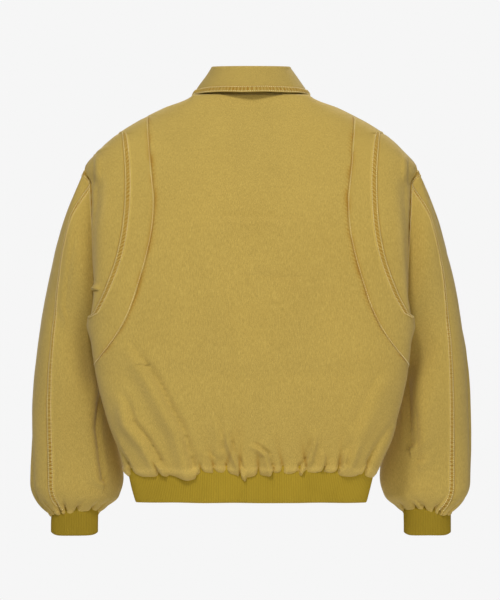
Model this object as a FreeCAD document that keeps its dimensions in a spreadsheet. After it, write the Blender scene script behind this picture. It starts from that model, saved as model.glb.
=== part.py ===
"""Casual blouson jacket with a shirt collar, rib-knit hem and cuffs, and a front zip.

Frame: +Z up, the wearer's front faces -Y, the wearer's left is +X.  The origin is the point at
the back-neck level where a hanger carries the jacket.  Millimetres and degrees throughout.
"""
import FreeCAD, Part
import Sketcher
import math
import os

Vector = FreeCAD.Vector

# Driving dimensions: alias -> value, written once here and read from the sheet everywhere else.
SIZES = {
    # body
    "body_length": 625.0,
    "chest_half_width": 268.0,
    "waist_half_width": 210.0,
    "shoulder_drop": 120.0,
    "underarm_drop": 383.0,
    "back_reach": 118.0,
    "front_reach": 100.0,
    "side_reach": 42.0,
    "ridge_reach": 8.0,
    "cloth": 2.0,
    # neck and collar
    "neck_half_width": 103.0,
    "neck_back_reach": 62.0,
    "neck_front_drop": 75.0,
    "collar_height": 51.0,
    "collar_top_half": 64.0,
    "collar_cloth": 2.4,
    # sleeve
    "armhole_flare": 11.0,
    "armhole_inset": -1.0,
    "armhole_half_depth": 34.0,
    "sleeve_length": 573.0,
    "sleeve_outer_reach": 90.0,
    "sleeve_half_depth": 72.0,
    "sleeve_wrist_depth": 48.0,
    "sleeve_forward": 60.0,
    # ribs
    "hem_rib_height": 55.0,
    "hem_rib_tuck": 14.0,
    "rib_thickness": 4.0,
    "cuff_half_width": 39.5,
    "cuff_half_depth": 27.0,
    "cuff_height": 42.0,
    # zip
    "placket_gap": 6.5,
    "tape_width": 15.0,
    "tape_thickness": 0.8,
    "tooth_pitch": 4.0,
    "tooth_length": 2.6,
    "tooth_height": 2.6,
    "tooth_depth": 3.6,
    "tooth_split": 1.2,
    "slider_height": 13.0,
    "slider_half_width": 5.0,
    "slider_plate": 1.4,
    "slider_clearance": 0.4,
    "pull_length": 26.0,
    "pull_width": 7.0,
    "pull_thickness": 1.6,
    # pockets
    "pocket_inner_edge": 58.0,
    "pocket_width": 96.0,
    "pocket_top_drop": 428.0,
    "pocket_height": 130.0,
    "flap_height": 46.0,
    "flap_point": 9.0,
    "flap_thickness": 2.2,
    "snap_radius": 7.5,
    # inside
    "facing_width": 46.0,
    "neck_facing_height": 46.0,
    "loop_width": 56.0,
    "loop_drop": 12.0,
    "loop_thickness": 2.0,
    # clearances
    "seam_gap": 0.12,
    "piece_gap": 0.4,
}

BACK_POWER = 2.6
ROW_STEP = 22.0
FINE_STEP = 7.0

doc = FreeCAD.newDocument("blouson_jacket")
sheet = doc.addObject("Spreadsheet::Sheet", "sizes")
for row, (alias, value) in enumerate(SIZES.items(), start=1):
    sheet.set(f"A{row}", alias)
    sheet.set(f"B{row}", str(value))
    sheet.setAlias(f"B{row}", alias)
doc.recompute()
size = {alias: float(sheet.get(alias)) for alias in SIZES}

BODY_LOW = -size["body_length"] + size["piece_gap"]
BODY_HIGH = -2.0


# ---------------------------------------------------------------- curves
def ease(share):
    """Smooth step from 0 to 1."""
    share = min(max(share, 0.0), 1.0)
    return share * share * (3.0 - 2.0 * share)


def curve_value(points, at):
    """Smooth curve through (place, value) points, held flat beyond the ends."""
    if at <= points[0][0]:
        return points[0][1]
    if at >= points[-1][0]:
        return points[-1][1]
    last = len(points) - 1
    index = max(i for i in range(last) if points[i][0] <= at)
    before, start = points[max(index - 1, 0)], points[index]
    end, after = points[index + 1], points[min(index + 2, last)]
    span = end[0] - start[0]
    share = (at - start[0]) / span
    slope_in = (end[1] - before[1]) / (end[0] - before[0]) * span
    slope_out = (after[1] - start[1]) / (after[0] - start[0]) * span
    square, cube = share ** 2, share ** 3
    return ((2 * cube - 3 * square + 1) * start[1] + (cube - 2 * square + share) * slope_in
            + (3 * square - 2 * cube) * end[1] + (cube - square) * slope_out)


# Back seams, as (drop / underarm drop, reach / chest half width) from the shoulder down.
CENTRE_SEAM = [(0.087, 0.645), (0.315, 0.619), (0.47, 0.600), (0.63, 0.623), (0.85, 0.709),
               (0.977, 0.780), (1.07, 0.862), (1.175, 0.985)]
OUTER_SEAM = [(0.160, 0.806), (0.30, 0.790), (0.405, 0.787), (0.564, 0.802), (0.705, 0.840),
              (0.843, 0.907), (0.948, 0.974)]


# ---------------------------------------------------------------- body surface
def half_width(z):
    """Half the width at a height: sloping shoulder, straight chest, drawn-in waist."""
    drop = max(-z, 0.0)
    if drop < size["shoulder_drop"]:
        spread = 1.0 - (1.0 - drop / size["shoulder_drop"]) ** 1.8
        return size["neck_half_width"] + (size["chest_half_width"] - size["neck_half_width"]) * spread
    taper = (drop - size["underarm_drop"]) / (size["body_length"] - size["underarm_drop"])
    taper = min(max(taper, 0.0), 1.0)
    return size["chest_half_width"] - (size["chest_half_width"] - size["waist_half_width"]) * taper ** 1.9


def back_y(z):
    fill = 1.0 - (1.0 - min(max(-z, 0.0) / (0.48 * size["body_length"]), 1.0)) ** 2
    draw = max((-z / size["body_length"] - 0.77) / 0.23, 0.0) ** 2
    return size["neck_back_reach"] + (size["back_reach"] - size["neck_back_reach"]) * fill - 26.0 * draw


def front_y(z):
    fill = 1.0 - (1.0 - min(max(-z, 0.0) / size["neck_front_drop"], 1.0)) ** 2
    return -size["front_reach"] * (0.2 + 0.8 * fill)


def side_y(z):
    return size["ridge_reach"] + (size["side_reach"] - size["ridge_reach"]) * ease((-z - 110.0) / 120.0)


def front_power(z):
    """The chest is square beside the armhole and rounder below it."""
    return 2.0 + ease((-z - 60.0) / 60.0) * ease((size["underarm_drop"] + z) / 90.0)


def surface_point(angle, z):
    """Plain body surface: angle 0 is the centre back, 90 the side and 180 the centre front."""
    turn = math.radians(abs(angle))
    power = BACK_POWER if abs(angle) <= 90.0 else front_power(z)
    across = half_width(z) * math.sin(turn) ** (2.0 / power)
    reach = abs(math.cos(turn)) ** (2.0 / power)
    far = back_y(z) if abs(angle) <= 90.0 else front_y(z)
    return Vector(math.copysign(across, angle), side_y(z) + (far - side_y(z)) * reach, z)


def angle_at_y(y, z):
    middle = side_y(z)
    if y >= middle:
        share = min((y - middle) / (back_y(z) - middle), 1.0)
        return math.degrees(math.acos(share ** (BACK_POWER / 2.0)))
    share = min((middle - y) / (middle - front_y(z)), 1.0)
    return 180.0 - math.degrees(math.acos(share ** (front_power(z) / 2.0)))


def back_angle_at_x(x, z):
    return math.degrees(math.asin(min(x / half_width(z), 1.0) ** (BACK_POWER / 2.0)))


def front_angle_at_x(x, z):
    return 180.0 - math.degrees(math.asin(min(x / half_width(z), 1.0) ** (front_power(z) / 2.0)))


# ---------------------------------------------------------------- armhole
def armhole_axes():
    """Centre, upward half axis, backward half axis and outward normal of the left armhole."""
    top = Vector(size["chest_half_width"] + size["armhole_flare"], size["ridge_reach"],
                 -size["shoulder_drop"] - 2.5)
    bottom = Vector(size["chest_half_width"] - size["armhole_inset"], -size["ridge_reach"],
                    -size["underarm_drop"])
    up = (top - bottom) * 0.5
    back = Vector(0.0, size["armhole_half_depth"], 0.0)
    return (top + bottom) * 0.5, up, back, back.cross(up).normalize()


ARM_CENTRE, ARM_UP, ARM_BACK, ARM_NORMAL = armhole_axes()
ARM_TOP_Z = ARM_CENTRE.z + ARM_UP.z
ARM_BOTTOM_Z = ARM_CENTRE.z - ARM_UP.z


def side_edge(z, facing):
    """Edge of the cloth at the side: shoulder ridge, armhole rim (facing +1 back, -1 front), side seam."""
    if z >= ARM_TOP_Z:
        ridge = surface_point(90.0, z)
        flare = ARM_CENTRE.x + ARM_UP.x - half_width(ARM_TOP_Z)
        return ridge + Vector(flare * ease(1.0 - (z - ARM_TOP_Z) / 60.0), 0.0, 0.0)
    if z > ARM_BOTTOM_Z:
        turn = math.acos((z - ARM_CENTRE.z) / ARM_UP.z)
        rim = ARM_CENTRE + ARM_UP * math.cos(turn) + ARM_BACK * (facing * math.sin(turn))
        return rim - Vector(size["piece_gap"], 0.0, 0.0)
    seam_y = ARM_CENTRE.y - ARM_UP.y
    seam = surface_point(angle_at_y(seam_y, z), z)
    at_bottom = surface_point(angle_at_y(seam_y, ARM_BOTTOM_Z), ARM_BOTTOM_Z)
    pull = ARM_CENTRE.x - ARM_UP.x - size["piece_gap"] - at_bottom.x
    return seam + Vector(pull * ease(1.0 - (ARM_BOTTOM_Z - z) / 35.0), 0.0, 0.0)


def edge_angle(z, facing):
    return angle_at_y(side_edge(z, facing).y, z)


def body_point(angle, z):
    """Body surface drawn out to the shoulder, armhole and side seam edges."""
    point = surface_point(angle, z)
    facing = 1.0 if abs(angle) <= edge_angle(z, 1.0) else -1.0
    limit = edge_angle(z, facing)
    near = max(1.0 - abs(abs(angle) - limit) / 40.0, 0.0) ** 2
    shift = (side_edge(z, facing) - surface_point(limit, z)) * near
    return point + Vector(math.copysign(shift.x, angle), shift.y, 0.0)


def inward_step(angle, z, depth):
    """Level step from the surface that leaves a wall `depth` thick, measured square to the cloth."""
    along = body_point(angle + 0.25, z) - body_point(angle - 0.25, z)
    inward = Vector(-along.y, along.x, 0.0)
    if inward.dot(Vector(0.0, 10.0, z) - body_point(angle, z)) < 0.0:
        inward = inward * -1.0
    inward.normalize()
    climb = (body_point(angle, z + 0.5) - body_point(angle, z - 0.5)).dot(inward)
    return inward * (depth * min(math.sqrt(1.0 + climb * climb), 3.0))


# ---------------------------------------------------------------- solids from rows
def thin_wire(outer, inner):
    """Closed outline of one row of cloth."""
    face_edge = Part.BSplineCurve()
    face_edge.interpolate(outer)
    back_edge = Part.BSplineCurve()
    back_edge.interpolate(list(reversed(inner)))
    return Part.Wire([
        face_edge.toShape(),
        Part.makeLine(outer[-1], inner[-1]),
        back_edge.toShape(),
        Part.makeLine(inner[0], outer[0]),
    ])


def row_stations():
    """Heights shared by every body panel: close together where an outline turns quickly."""
    heights = [BODY_LOW]
    quick = [-size["neck_front_drop"], ARM_TOP_Z, ARM_BOTTOM_Z, -size["underarm_drop"] * 1.19]
    while heights[-1] < BODY_HIGH - 1.0:
        near = min(abs(heights[-1] - place) for place in quick)
        fine = near < 30.0 or heights[-1] > -70.0 or heights[-1] < BODY_LOW + 40.0
        heights.append(min(heights[-1] + (FINE_STEP if fine else ROW_STEP), BODY_HIGH))
    return heights


def row_heights(low, high):
    """The shared rows from one height to another."""
    return [z for z in row_stations() if low - 1.0 <= z <= high + 1.0]


def body_panel(start, end, low, high, depth=0.0, wall=None, columns=9):
    """Curved sheet of cloth between two angle functions and two heights, `depth` below the surface."""
    wall = wall or size["cloth"]
    wires = []
    for z in row_heights(low, high):
        first, last = start(z), end(z)
        angles = [first + (last - first) * i / (columns - 1) for i in range(columns)]
        outer = [body_point(a, z) + inward_step(a, z, depth) for a in angles]
        inner = [body_point(a, z) + inward_step(a, z, depth + wall) for a in angles]
        wires.append(thin_wire(outer, inner))
    return Part.makeLoft(wires, True, True)


def mirror_x(shape):
    return shape.mirror(Vector(0, 0, 0), Vector(1, 0, 0))


def add_feature(name, shape, placement=None):
    """Sub-part whose shape comes straight from Part functions."""
    feature = doc.addObject("Part::Feature", name)
    feature.Shape = shape
    feature.Placement = placement or FreeCAD.Placement()
    feature.Label = name
    return feature


def add_pair(name, shape):
    return add_feature(f"{name}_left", shape), add_feature(f"{name}_right", mirror_x(shape))


# ---------------------------------------------------------------- body panels
def seam_angle(seam, z):
    """Angle of a back seam; past its last point it runs on to the side seam."""
    end_z = -seam[-1][0] * size["underarm_drop"]
    top_z = -seam[0][0] * size["underarm_drop"]
    if z >= top_z:
        return edge_angle(z, 1.0)
    limit = edge_angle(z, 1.0)
    if z < end_z:
        at_end = back_angle_at_x(seam[-1][1] * size["chest_half_width"], end_z)
        return min(at_end + (limit - at_end) * (end_z - z) / 16.0, limit)
    reach = curve_value(seam, -z / size["underarm_drop"]) * size["chest_half_width"]
    return min(back_angle_at_x(reach, z), limit)


def centre_seam_angle(z):
    return seam_angle(CENTRE_SEAM, z)


def outer_seam_angle(z):
    return seam_angle(OUTER_SEAM, z)


def seam_low(seam):
    return -seam[-1][0] * size["underarm_drop"] - 12.0


def seam_high(seam):
    return -seam[0][0] * size["underarm_drop"] + 2.0


NECK_EDGE = size["neck_half_width"] - 7.0


def neck_x(z):
    share = min(-z / size["neck_front_drop"], 1.0)
    return NECK_EDGE * math.sqrt(max(1.0 - share * share, 0.0))


def front_edge_angle(z):
    """Neckline above, placket edge below."""
    return front_angle_at_x(max(neck_x(z), size["placket_gap"]), z) - size["seam_gap"]


gap = size["seam_gap"]


def build_body():
    add_feature("back_centre_panel", body_panel(
        lambda z: -centre_seam_angle(z) + gap, lambda z: centre_seam_angle(z) - gap,
        BODY_LOW, BODY_HIGH, columns=17))
    add_pair("back_gusset", body_panel(
        lambda z: centre_seam_angle(z) + gap, lambda z: outer_seam_angle(z) - gap,
        seam_low(CENTRE_SEAM), seam_high(CENTRE_SEAM) - 6.0, columns=5))
    add_pair("back_shoulder", body_panel(
        lambda z: outer_seam_angle(z) + gap, lambda z: edge_angle(z, 1.0) - gap,
        -size["underarm_drop"] + 6.0, seam_high(OUTER_SEAM) - 8.0, columns=7))
    add_pair("front_panel", body_panel(
        lambda z: edge_angle(z, -1.0) + gap, front_edge_angle, BODY_LOW, BODY_HIGH - 4.0, columns=11))
    add_pair("front_facing", body_panel(
        lambda z: front_angle_at_x(size["facing_width"] + size["tape_width"], z),
        lambda z: front_angle_at_x(size["tape_width"] + 1.0, z),
        BODY_LOW, -size["neck_front_drop"] - 8.0, depth=size["cloth"] + size["piece_gap"],
        wall=1.0, columns=4))
    add_feature("neck_facing", body_panel(
        lambda z: -52.0, lambda z: 52.0, -size["neck_facing_height"], BODY_HIGH - 2.0,
        depth=size["cloth"] + 2.0 * size["piece_gap"], wall=1.0))


# ---------------------------------------------------------------- hem rib
def hem_point(angle, z, depth):
    """Rib surface: the waist outline, drawn in a little towards the bottom edge."""
    draw = 3.0 + (size["hem_rib_tuck"] * (-size["body_length"] - z) / size["hem_rib_height"])
    point = surface_point(angle, -size["body_length"])
    flat = Vector(point.x, point.y - 10.0, 0.0)
    shrink = 1.0 - (draw * (1.0 - abs(math.cos(math.radians(angle))) ** 4) + depth) / flat.Length
    return Vector(flat.x * shrink, flat.y * shrink + 10.0, z)


def build_hem_rib():
    end = front_angle_at_x(size["placket_gap"], -size["body_length"])
    angles = [-end + 2.0 * end * i / 40 for i in range(41)]
    wires = []
    for step in range(4):
        z = -size["body_length"] - size["hem_rib_height"] * step / 3.0
        outer = [hem_point(a, z, 0.0) for a in angles]
        inner = [hem_point(a, z, size["rib_thickness"]) for a in angles]
        wires.append(thin_wire(outer, inner))
    add_feature("hem_rib", Part.makeLoft(wires, True, True))


# ---------------------------------------------------------------- sleeve
def outer_line(along):
    """Outer edge of the left sleeve, from the shoulder point to the cuff."""
    drop = size["sleeve_length"] * along
    swell = 1.0 - (1.0 - min(drop / (0.87 * size["sleeve_length"]), 1.0)) ** 2.5
    top = ARM_CENTRE + ARM_UP
    return Vector(top.x + size["sleeve_outer_reach"] * swell, 0.0, top.z - drop)


def inner_line(along):
    """Inner edge of the left sleeve, from the underarm to the cuff."""
    bottom = ARM_CENTRE - ARM_UP
    cuff_z = ARM_TOP_Z - size["sleeve_length"]
    tuck = 58.0 * ease((along - 0.04) / 0.8)
    return Vector(bottom.x + 5.0 * ease(along / 0.08) - tuck, 0.0, bottom.z + (cuff_z - bottom.z) * along)


def cuff_x():
    return ARM_CENTRE.x + ARM_UP.x + size["sleeve_outer_reach"] - 72.0


def sleeve_ring(along):
    """Centre, half width vector and half depth of the sleeve at a share of its length."""
    pinch = max((along - 0.91) / 0.09, 0.0) ** 2.5
    outer, inner = outer_line(along), inner_line(along)
    centre = (outer + inner) * 0.5
    across = (outer - inner) * 0.5
    across = across * (1.0 - pinch) + Vector(size["cuff_half_width"], 0.0, 0.0) * pinch
    centre.x = centre.x * (1.0 - pinch) + cuff_x() * pinch
    centre.y = ARM_CENTRE.y - size["sleeve_forward"] * ease(along / 0.42)
    across.y = ARM_UP.y + 14.0 * ease(along / 0.2) * (1.0 - ease((along - 0.5) / 0.4))
    depth = curve_value([(0.0, size["armhole_half_depth"]), (0.15, 0.68 * size["sleeve_half_depth"]),
                         (0.45, size["sleeve_half_depth"]), (0.85, size["sleeve_wrist_depth"]),
                         (1.0, size["sleeve_wrist_depth"])], along)
    depth = depth * (1.0 - pinch) + size["cuff_half_depth"] * pinch
    return centre + ARM_NORMAL * size["piece_gap"], across, depth


def sleeve_point(along, turn, inset):
    """Turn 0 is the outer edge, 90 the back and 180 the underarm edge."""
    centre, across, depth = sleeve_ring(along)
    across = across * (1.0 - inset / across.Length)
    angle = math.radians(turn)
    return centre + across * math.cos(angle) + Vector(0.0, (depth - inset) * math.sin(angle), 0.0)


def back_seam_turn(along):
    return 28.0 + 21.0 * ease(along / 0.4)


def sleeve_panel(start, end, columns):
    wires = []
    for step in range(31):
        along = step / 30.0
        turns = [start(along) + (end(along) - start(along)) * i / (columns - 1) for i in range(columns)]
        outer = [sleeve_point(along, turn, 0.0) for turn in turns]
        inner = [sleeve_point(along, turn, size["cloth"]) for turn in turns]
        wires.append(thin_wire(outer, inner))
    return Part.makeLoft(wires, True, True)


def build_sleeves():
    seam = 0.25
    add_pair("sleeve_outer", sleeve_panel(
        lambda along: -128.0 + seam, lambda along: back_seam_turn(along) - seam, 13))
    add_pair("sleeve_under", sleeve_panel(
        lambda along: back_seam_turn(along) + seam, lambda along: 232.0 - seam, 15))


# ---------------------------------------------------------------- collar
def neck_point(turn):
    """Neckline of the left half: turn 0 is the back, 90 the shoulder and 180 the front."""
    if turn <= 90.0:
        angle = math.radians(turn)
        reach = size["neck_back_reach"] - size["ridge_reach"]
        return Vector(NECK_EDGE * math.sin(angle),
                      size["ridge_reach"] + reach * math.cos(angle), 0.0)
    z = -size["neck_front_drop"] * math.sin(math.radians(turn - 90.0))
    point = surface_point(front_angle_at_x(neck_x(z), z), z) if z < -0.5 else \
        Vector(NECK_EDGE, size["ridge_reach"], 0.0)
    return Vector(point.x, point.y, z)


def roll_point(turn):
    """Top fold of the collar."""
    angle = math.radians(turn)
    fall = ease((turn - 85.0) / 95.0)
    reach = 43.0 if turn <= 90.0 else 84.0
    return Vector(size["collar_top_half"] * math.sin(angle), 5.0 + reach * math.cos(angle),
                  size["collar_height"] - 98.0 * fall)


def leaf_point(turn):
    """Free lower edge of the turned-down collar."""
    neck = neck_point(turn)
    outward = collar_outward(turn)
    spread = 14.0 - 7.0 * math.sin(math.radians(min(turn, 90.0))) + 18.0 * ease((turn - 90.0) / 60.0)
    lift = 4.0 * ease((turn - 78.0) / 14.0)
    drop = 2.0 + lift - 44.0 * ease((turn - 120.0) / 50.0)
    return neck + outward * spread + Vector(0.0, 0.0, drop)


def collar_outward(turn):
    angle = math.radians(turn)
    return Vector(math.sin(angle), math.cos(angle), 0.0)


def on_side(point, turn):
    return Vector(math.copysign(point.x, turn), point.y, point.z)


def collar_strip(low_edge, high_edge, end, offset, wall):
    """Strip of collar cloth between two edges, running from one front end round to the other."""
    wires = []
    steps = 44
    for step in range(steps + 1):
        turn = -end + 2.0 * end * step / steps
        outward = on_side(collar_outward(abs(turn)), turn)
        low = on_side(low_edge(abs(turn)), turn) + outward * offset
        high = on_side(high_edge(abs(turn)), turn) + outward * offset
        wires.append(Part.makePolygon([low, high, high + outward * wall, low + outward * wall, low]))
    return Part.makeLoft(wires, True, True)


def build_collar():
    wall = size["collar_cloth"]
    lift = Vector(0.0, 0.0, 1.0)
    add_feature("collar_stand", collar_strip(
        lambda turn: neck_point(turn) + lift, lambda turn: roll_point(turn) - lift * 2.0,
        170.0, -wall - 1.3, wall))
    add_feature("collar_fall", collar_strip(leaf_point, roll_point, 170.0, 1.3, wall))


# ---------------------------------------------------------------- helpers for turned and flat pieces
def sheet_box(name, sizes, corner):
    """Box whose sides follow the sheet."""
    box = doc.addObject("Part::Box", name)
    for side, expression in zip(("Length", "Width", "Height"), sizes):
        box.setExpression(side, expression)
    box.Placement = FreeCAD.Placement(corner, FreeCAD.Rotation())
    box.Label = name
    return box


def origin_plane(body, role):
    return next(f for f in body.Origin.OriginFeatures if f.Role == role)


def new_sketch(body, name, role):
    sketch = body.newObject("Sketcher::SketchObject", name)
    sketch.AttachmentSupport = [(origin_plane(body, role), "")]
    sketch.MapMode = "FlatFace"
    return sketch


def closed_outline(sketch, corners):
    """Closed chain of straight lines."""
    first = sketch.GeometryCount
    for index, corner in enumerate(corners):
        following = corners[(index + 1) % len(corners)]
        sketch.addGeometry(Part.LineSegment(Vector(*corner, 0), Vector(*following, 0)), False)
    for index in range(len(corners)):
        after = first + (index + 1) % len(corners)
        sketch.addConstraint(Sketcher.Constraint("Coincident", first + index, 2, after, 1))


def new_pad(body, name, sketch, expression):
    pad = body.newObject("PartDesign::Pad", name)
    pad.Profile = sketch
    pad.setExpression("Length", expression)
    return pad


# ---------------------------------------------------------------- cuffs
def build_cuff(side, sign):
    body = doc.addObject("PartDesign::Body", f"cuff_rib_{side}")
    body.Label = f"cuff_rib_{side}"
    sketch = new_sketch(body, f"cuff_outline_{side}", "XY_Plane")
    for inset in (0.0, size["rib_thickness"]):
        wide, deep = size["cuff_half_width"] - inset, size["cuff_half_depth"] - inset
        sketch.addGeometry(Part.Ellipse(Vector(wide, 0, 0), Vector(0, deep, 0), Vector(0, 0, 0)), False)
    doc.recompute()
    new_pad(body, f"cuff_wall_{side}", sketch, "sizes.cuff_height")
    doc.recompute()
    centre, _, _ = sleeve_ring(1.0)
    low = ARM_TOP_Z - size["sleeve_length"] - size["piece_gap"] - size["cuff_height"]
    body.Placement = FreeCAD.Placement(Vector(sign * centre.x, centre.y, low), FreeCAD.Rotation())
    return body


# ---------------------------------------------------------------- zip
ZIP_TOP = -size["neck_front_drop"] - 4.0
ZIP_BOTTOM = -size["body_length"] - size["hem_rib_height"] + 2.0
ZIP_Y = -size["front_reach"] + size["rib_thickness"] + size["piece_gap"] + size["tape_thickness"]


def build_tapes():
    length = ZIP_TOP - ZIP_BOTTOM
    for side, sign in (("left", 1.0), ("right", -1.0)):
        inner = size["tooth_split"] / 2.0 + size["tooth_length"]
        start = inner if sign > 0 else -inner - size["tape_width"] + size["tooth_length"]
        tape = sheet_box(f"zip_tape_{side}",
                         ("sizes.tape_width - sizes.tooth_length", "sizes.tape_thickness", f"{length}"),
                         Vector(start, ZIP_Y - size["tape_thickness"] / 2.0, ZIP_BOTTOM))
        tape.Label = f"zip_tape_{side}"


def build_teeth():
    """One row of moulded teeth per side; the rows stand a little apart for the slider's divider."""
    count = int((ZIP_TOP - ZIP_BOTTOM - 14.0) / size["tooth_pitch"])
    for side, sign in (("left", 1.0), ("right", -1.0)):
        start = size["tooth_split"] / 2.0 if sign > 0 else -size["tooth_split"] / 2.0 - size["tooth_length"]
        lift = 0.0 if sign > 0 else size["tooth_pitch"] / 2.0
        teeth = []
        for index in range(count):
            corner = Vector(start, ZIP_Y - size["tooth_depth"] / 2.0,
                            ZIP_BOTTOM + 12.0 + lift + index * size["tooth_pitch"])
            teeth.append(Part.makeBox(size["tooth_length"], size["tooth_depth"],
                                      size["tooth_height"], corner))
        add_feature(f"zip_teeth_{side}", Part.makeCompound(teeth))


def slider_profile():
    """Half depth of the tooth channel and of the whole slider."""
    channel = size["tooth_depth"] / 2.0 + size["slider_clearance"]
    return channel, channel + size["slider_plate"]


def build_slider():
    """Front and back plates joined by the thin divider that runs between the two rows of teeth."""
    body = doc.addObject("PartDesign::Body", "zip_slider")
    body.Label = "zip_slider"
    channel, outside = slider_profile()
    half = size["slider_half_width"]
    divider = size["tooth_split"] / 2.0 - 0.15
    lip = size["tape_thickness"] / 2.0 + 0.5
    right_side = [(divider, channel), (half - 1.0, channel), (half - 1.0, lip), (half, lip),
                  (half, outside), (-half, outside), (-half, lip), (-half + 1.0, lip),
                  (-half + 1.0, channel), (-divider, channel)]
    lower = [(-x, -y) for x, y in right_side]
    sketch = new_sketch(body, "slider_section", "XY_Plane")
    closed_outline(sketch, right_side + lower)
    doc.recompute()
    new_pad(body, "slider_length", sketch, "sizes.slider_height")
    doc.recompute()
    body.Placement = FreeCAD.Placement(
        Vector(0.0, ZIP_Y, ZIP_TOP - size["slider_height"] - 1.0), FreeCAD.Rotation())
    return body


def pull_hinge():
    """Point on the axis that the pull turns about."""
    _, outside = slider_profile()
    return Vector(0.0, ZIP_Y - outside - 2.0, ZIP_TOP - 3.5)


def build_pull():
    """Flat tab with a hole at its foot and an eye that turns on the slider's bail."""
    body = doc.addObject("PartDesign::Body", "zip_pull")
    body.Label = "zip_pull"
    half, length = size["pull_width"] / 2.0, size["pull_length"]
    sketch = new_sketch(body, "pull_outline", "XZ_Plane")
    closed_outline(sketch, [(-1.9, 1.6), (1.9, 1.6), (half - 0.6, -4.0), (half, -length + 2.0),
                            (half - 2.0, -length), (-half + 2.0, -length), (-half, -length + 2.0),
                            (-half + 0.6, -4.0)])
    sketch.addGeometry(Part.Circle(Vector(0, -length + 5.0, 0), Vector(0, 0, 1), 1.7), False)
    doc.recompute()
    pad = new_pad(body, "pull_plate", sketch, "sizes.pull_thickness")
    pad.Midplane = True
    doc.recompute()
    body.Placement = FreeCAD.Placement(pull_hinge(), FreeCAD.Rotation())
    return body


def build_zip_ends():
    """Box and pin at the foot of the zip, and the two stops at its head."""
    half = size["tooth_depth"] / 2.0
    length, base = 9.0, ZIP_BOTTOM + 1.5
    width = size["tooth_split"] / 2.0 + size["tooth_length"]
    box_piece = Part.makeBox(width + 2.0, 2.0 * half, length, Vector(0.3, ZIP_Y - half, base))
    tape_slot = Part.makeBox(4.0, size["tape_thickness"] + 0.2, length + 2.0,
                             Vector(width, ZIP_Y - size["tape_thickness"] / 2.0 - 0.1, base - 1.0))
    add_feature("zip_box", box_piece.cut(tape_slot))
    pin = Part.makeBox(width - 0.3, 2.0 * half - 0.6, length + 1.5,
                       Vector(-width, ZIP_Y - half + 0.3, base))
    add_feature("zip_pin", pin)
    top = ZIP_TOP - 0.4
    stops = [Part.makeBox(2.2, 1.6, 2.6, Vector(x, ZIP_Y + size["tape_thickness"] / 2.0, top - 2.6))
             for x in (width + 2.0, -width - 4.2)]
    add_feature("zip_top_stops", Part.makeCompound(stops))


# ---------------------------------------------------------------- pockets
def pocket_plane():
    """Frame of the left pocket: mid top point, level direction along it and outward direction."""
    top = -size["pocket_top_drop"]
    inner = body_point(front_angle_at_x(size["pocket_inner_edge"], top), top)
    outer_x = size["pocket_inner_edge"] + size["pocket_width"]
    outer = body_point(front_angle_at_x(outer_x, top), top)
    across = (outer - inner).normalize()
    return (inner + outer) * 0.5, across, Vector(across.y, -across.x, 0.0)


def build_pockets():
    top = -size["pocket_top_drop"]
    inner_x = size["pocket_inner_edge"]
    patch = body_panel(
        lambda z: front_angle_at_x(inner_x + size["pocket_width"], z),
        lambda z: front_angle_at_x(inner_x, z),
        top - size["pocket_height"], top - 8.0,
        depth=-size["piece_gap"] - 1.6, wall=1.6, columns=6)
    add_pair("pocket_patch", patch)


def pocket_bulge():
    """How far the patch stands in front of the line between its two top corners."""
    top = -size["pocket_top_drop"]
    middle, _, outward = pocket_plane()
    reach = 0.0
    for step in range(9):
        x = size["pocket_inner_edge"] + size["pocket_width"] * step / 8.0
        for drop in (0.0, size["flap_height"] + size["flap_point"]):
            point = body_point(front_angle_at_x(x, top - drop), top - drop)
            reach = max(reach, (point - middle).dot(outward))
    return reach


def flap_placement(sign):
    """Placement that lays a flap, drawn on its XZ plane, over the pocket mouth."""
    middle, across, outward = pocket_plane()
    lift = pocket_bulge() + 1.6 + 2.0 * size["piece_gap"]
    place = middle + outward * lift
    yaw = math.degrees(math.atan2(across.y, across.x))
    return FreeCAD.Placement(Vector(sign * place.x, place.y, place.z),
                             FreeCAD.Rotation(Vector(0, 0, 1), sign * yaw))


def build_flap(side, sign):
    body = doc.addObject("PartDesign::Body", f"pocket_flap_{side}")
    body.Label = f"pocket_flap_{side}"
    half = size["pocket_width"] / 2.0 + 3.0
    deep, point = size["flap_height"], size["flap_point"]
    sketch = new_sketch(body, f"flap_outline_{side}", "XZ_Plane")
    closed_outline(sketch, [(-half, 0.0), (half, 0.0), (half, -deep + 3.0), (half - 3.0, -deep),
                            (0.0, -deep - point), (-half + 3.0, -deep), (-half, -deep + 3.0)])
    doc.recompute()
    new_pad(body, f"flap_cloth_{side}", sketch, "sizes.flap_thickness")
    doc.recompute()
    body.Placement = flap_placement(sign)
    return body


def build_snaps(side, sign):
    """Snap cap on the face of the flap and its stud on the pocket below."""
    placement = flap_placement(sign)
    z = -size["flap_height"] + 8.0
    body = doc.getObject(f"pocket_flap_{side}")
    face_y = body.Shape.copy()
    face_y.Placement = FreeCAD.Placement()
    front = face_y.BoundBox.YMin
    cap = doc.addObject("Part::Cylinder", f"snap_cap_{side}")
    cap.setExpression("Radius", "sizes.snap_radius")
    cap.Height = 1.8
    turn = FreeCAD.Rotation(Vector(1, 0, 0), 90)
    cap.Placement = placement.multiply(FreeCAD.Placement(Vector(0.0, front, z), turn))
    cap.Label = f"snap_cap_{side}"
    back = face_y.BoundBox.YMax
    stud = Part.makeCylinder(size["snap_radius"] * 0.6, 0.3, Vector(0.0, back + 0.1, z), Vector(0, 1, 0))
    add_feature(f"snap_stud_{side}", stud, placement)


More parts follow.
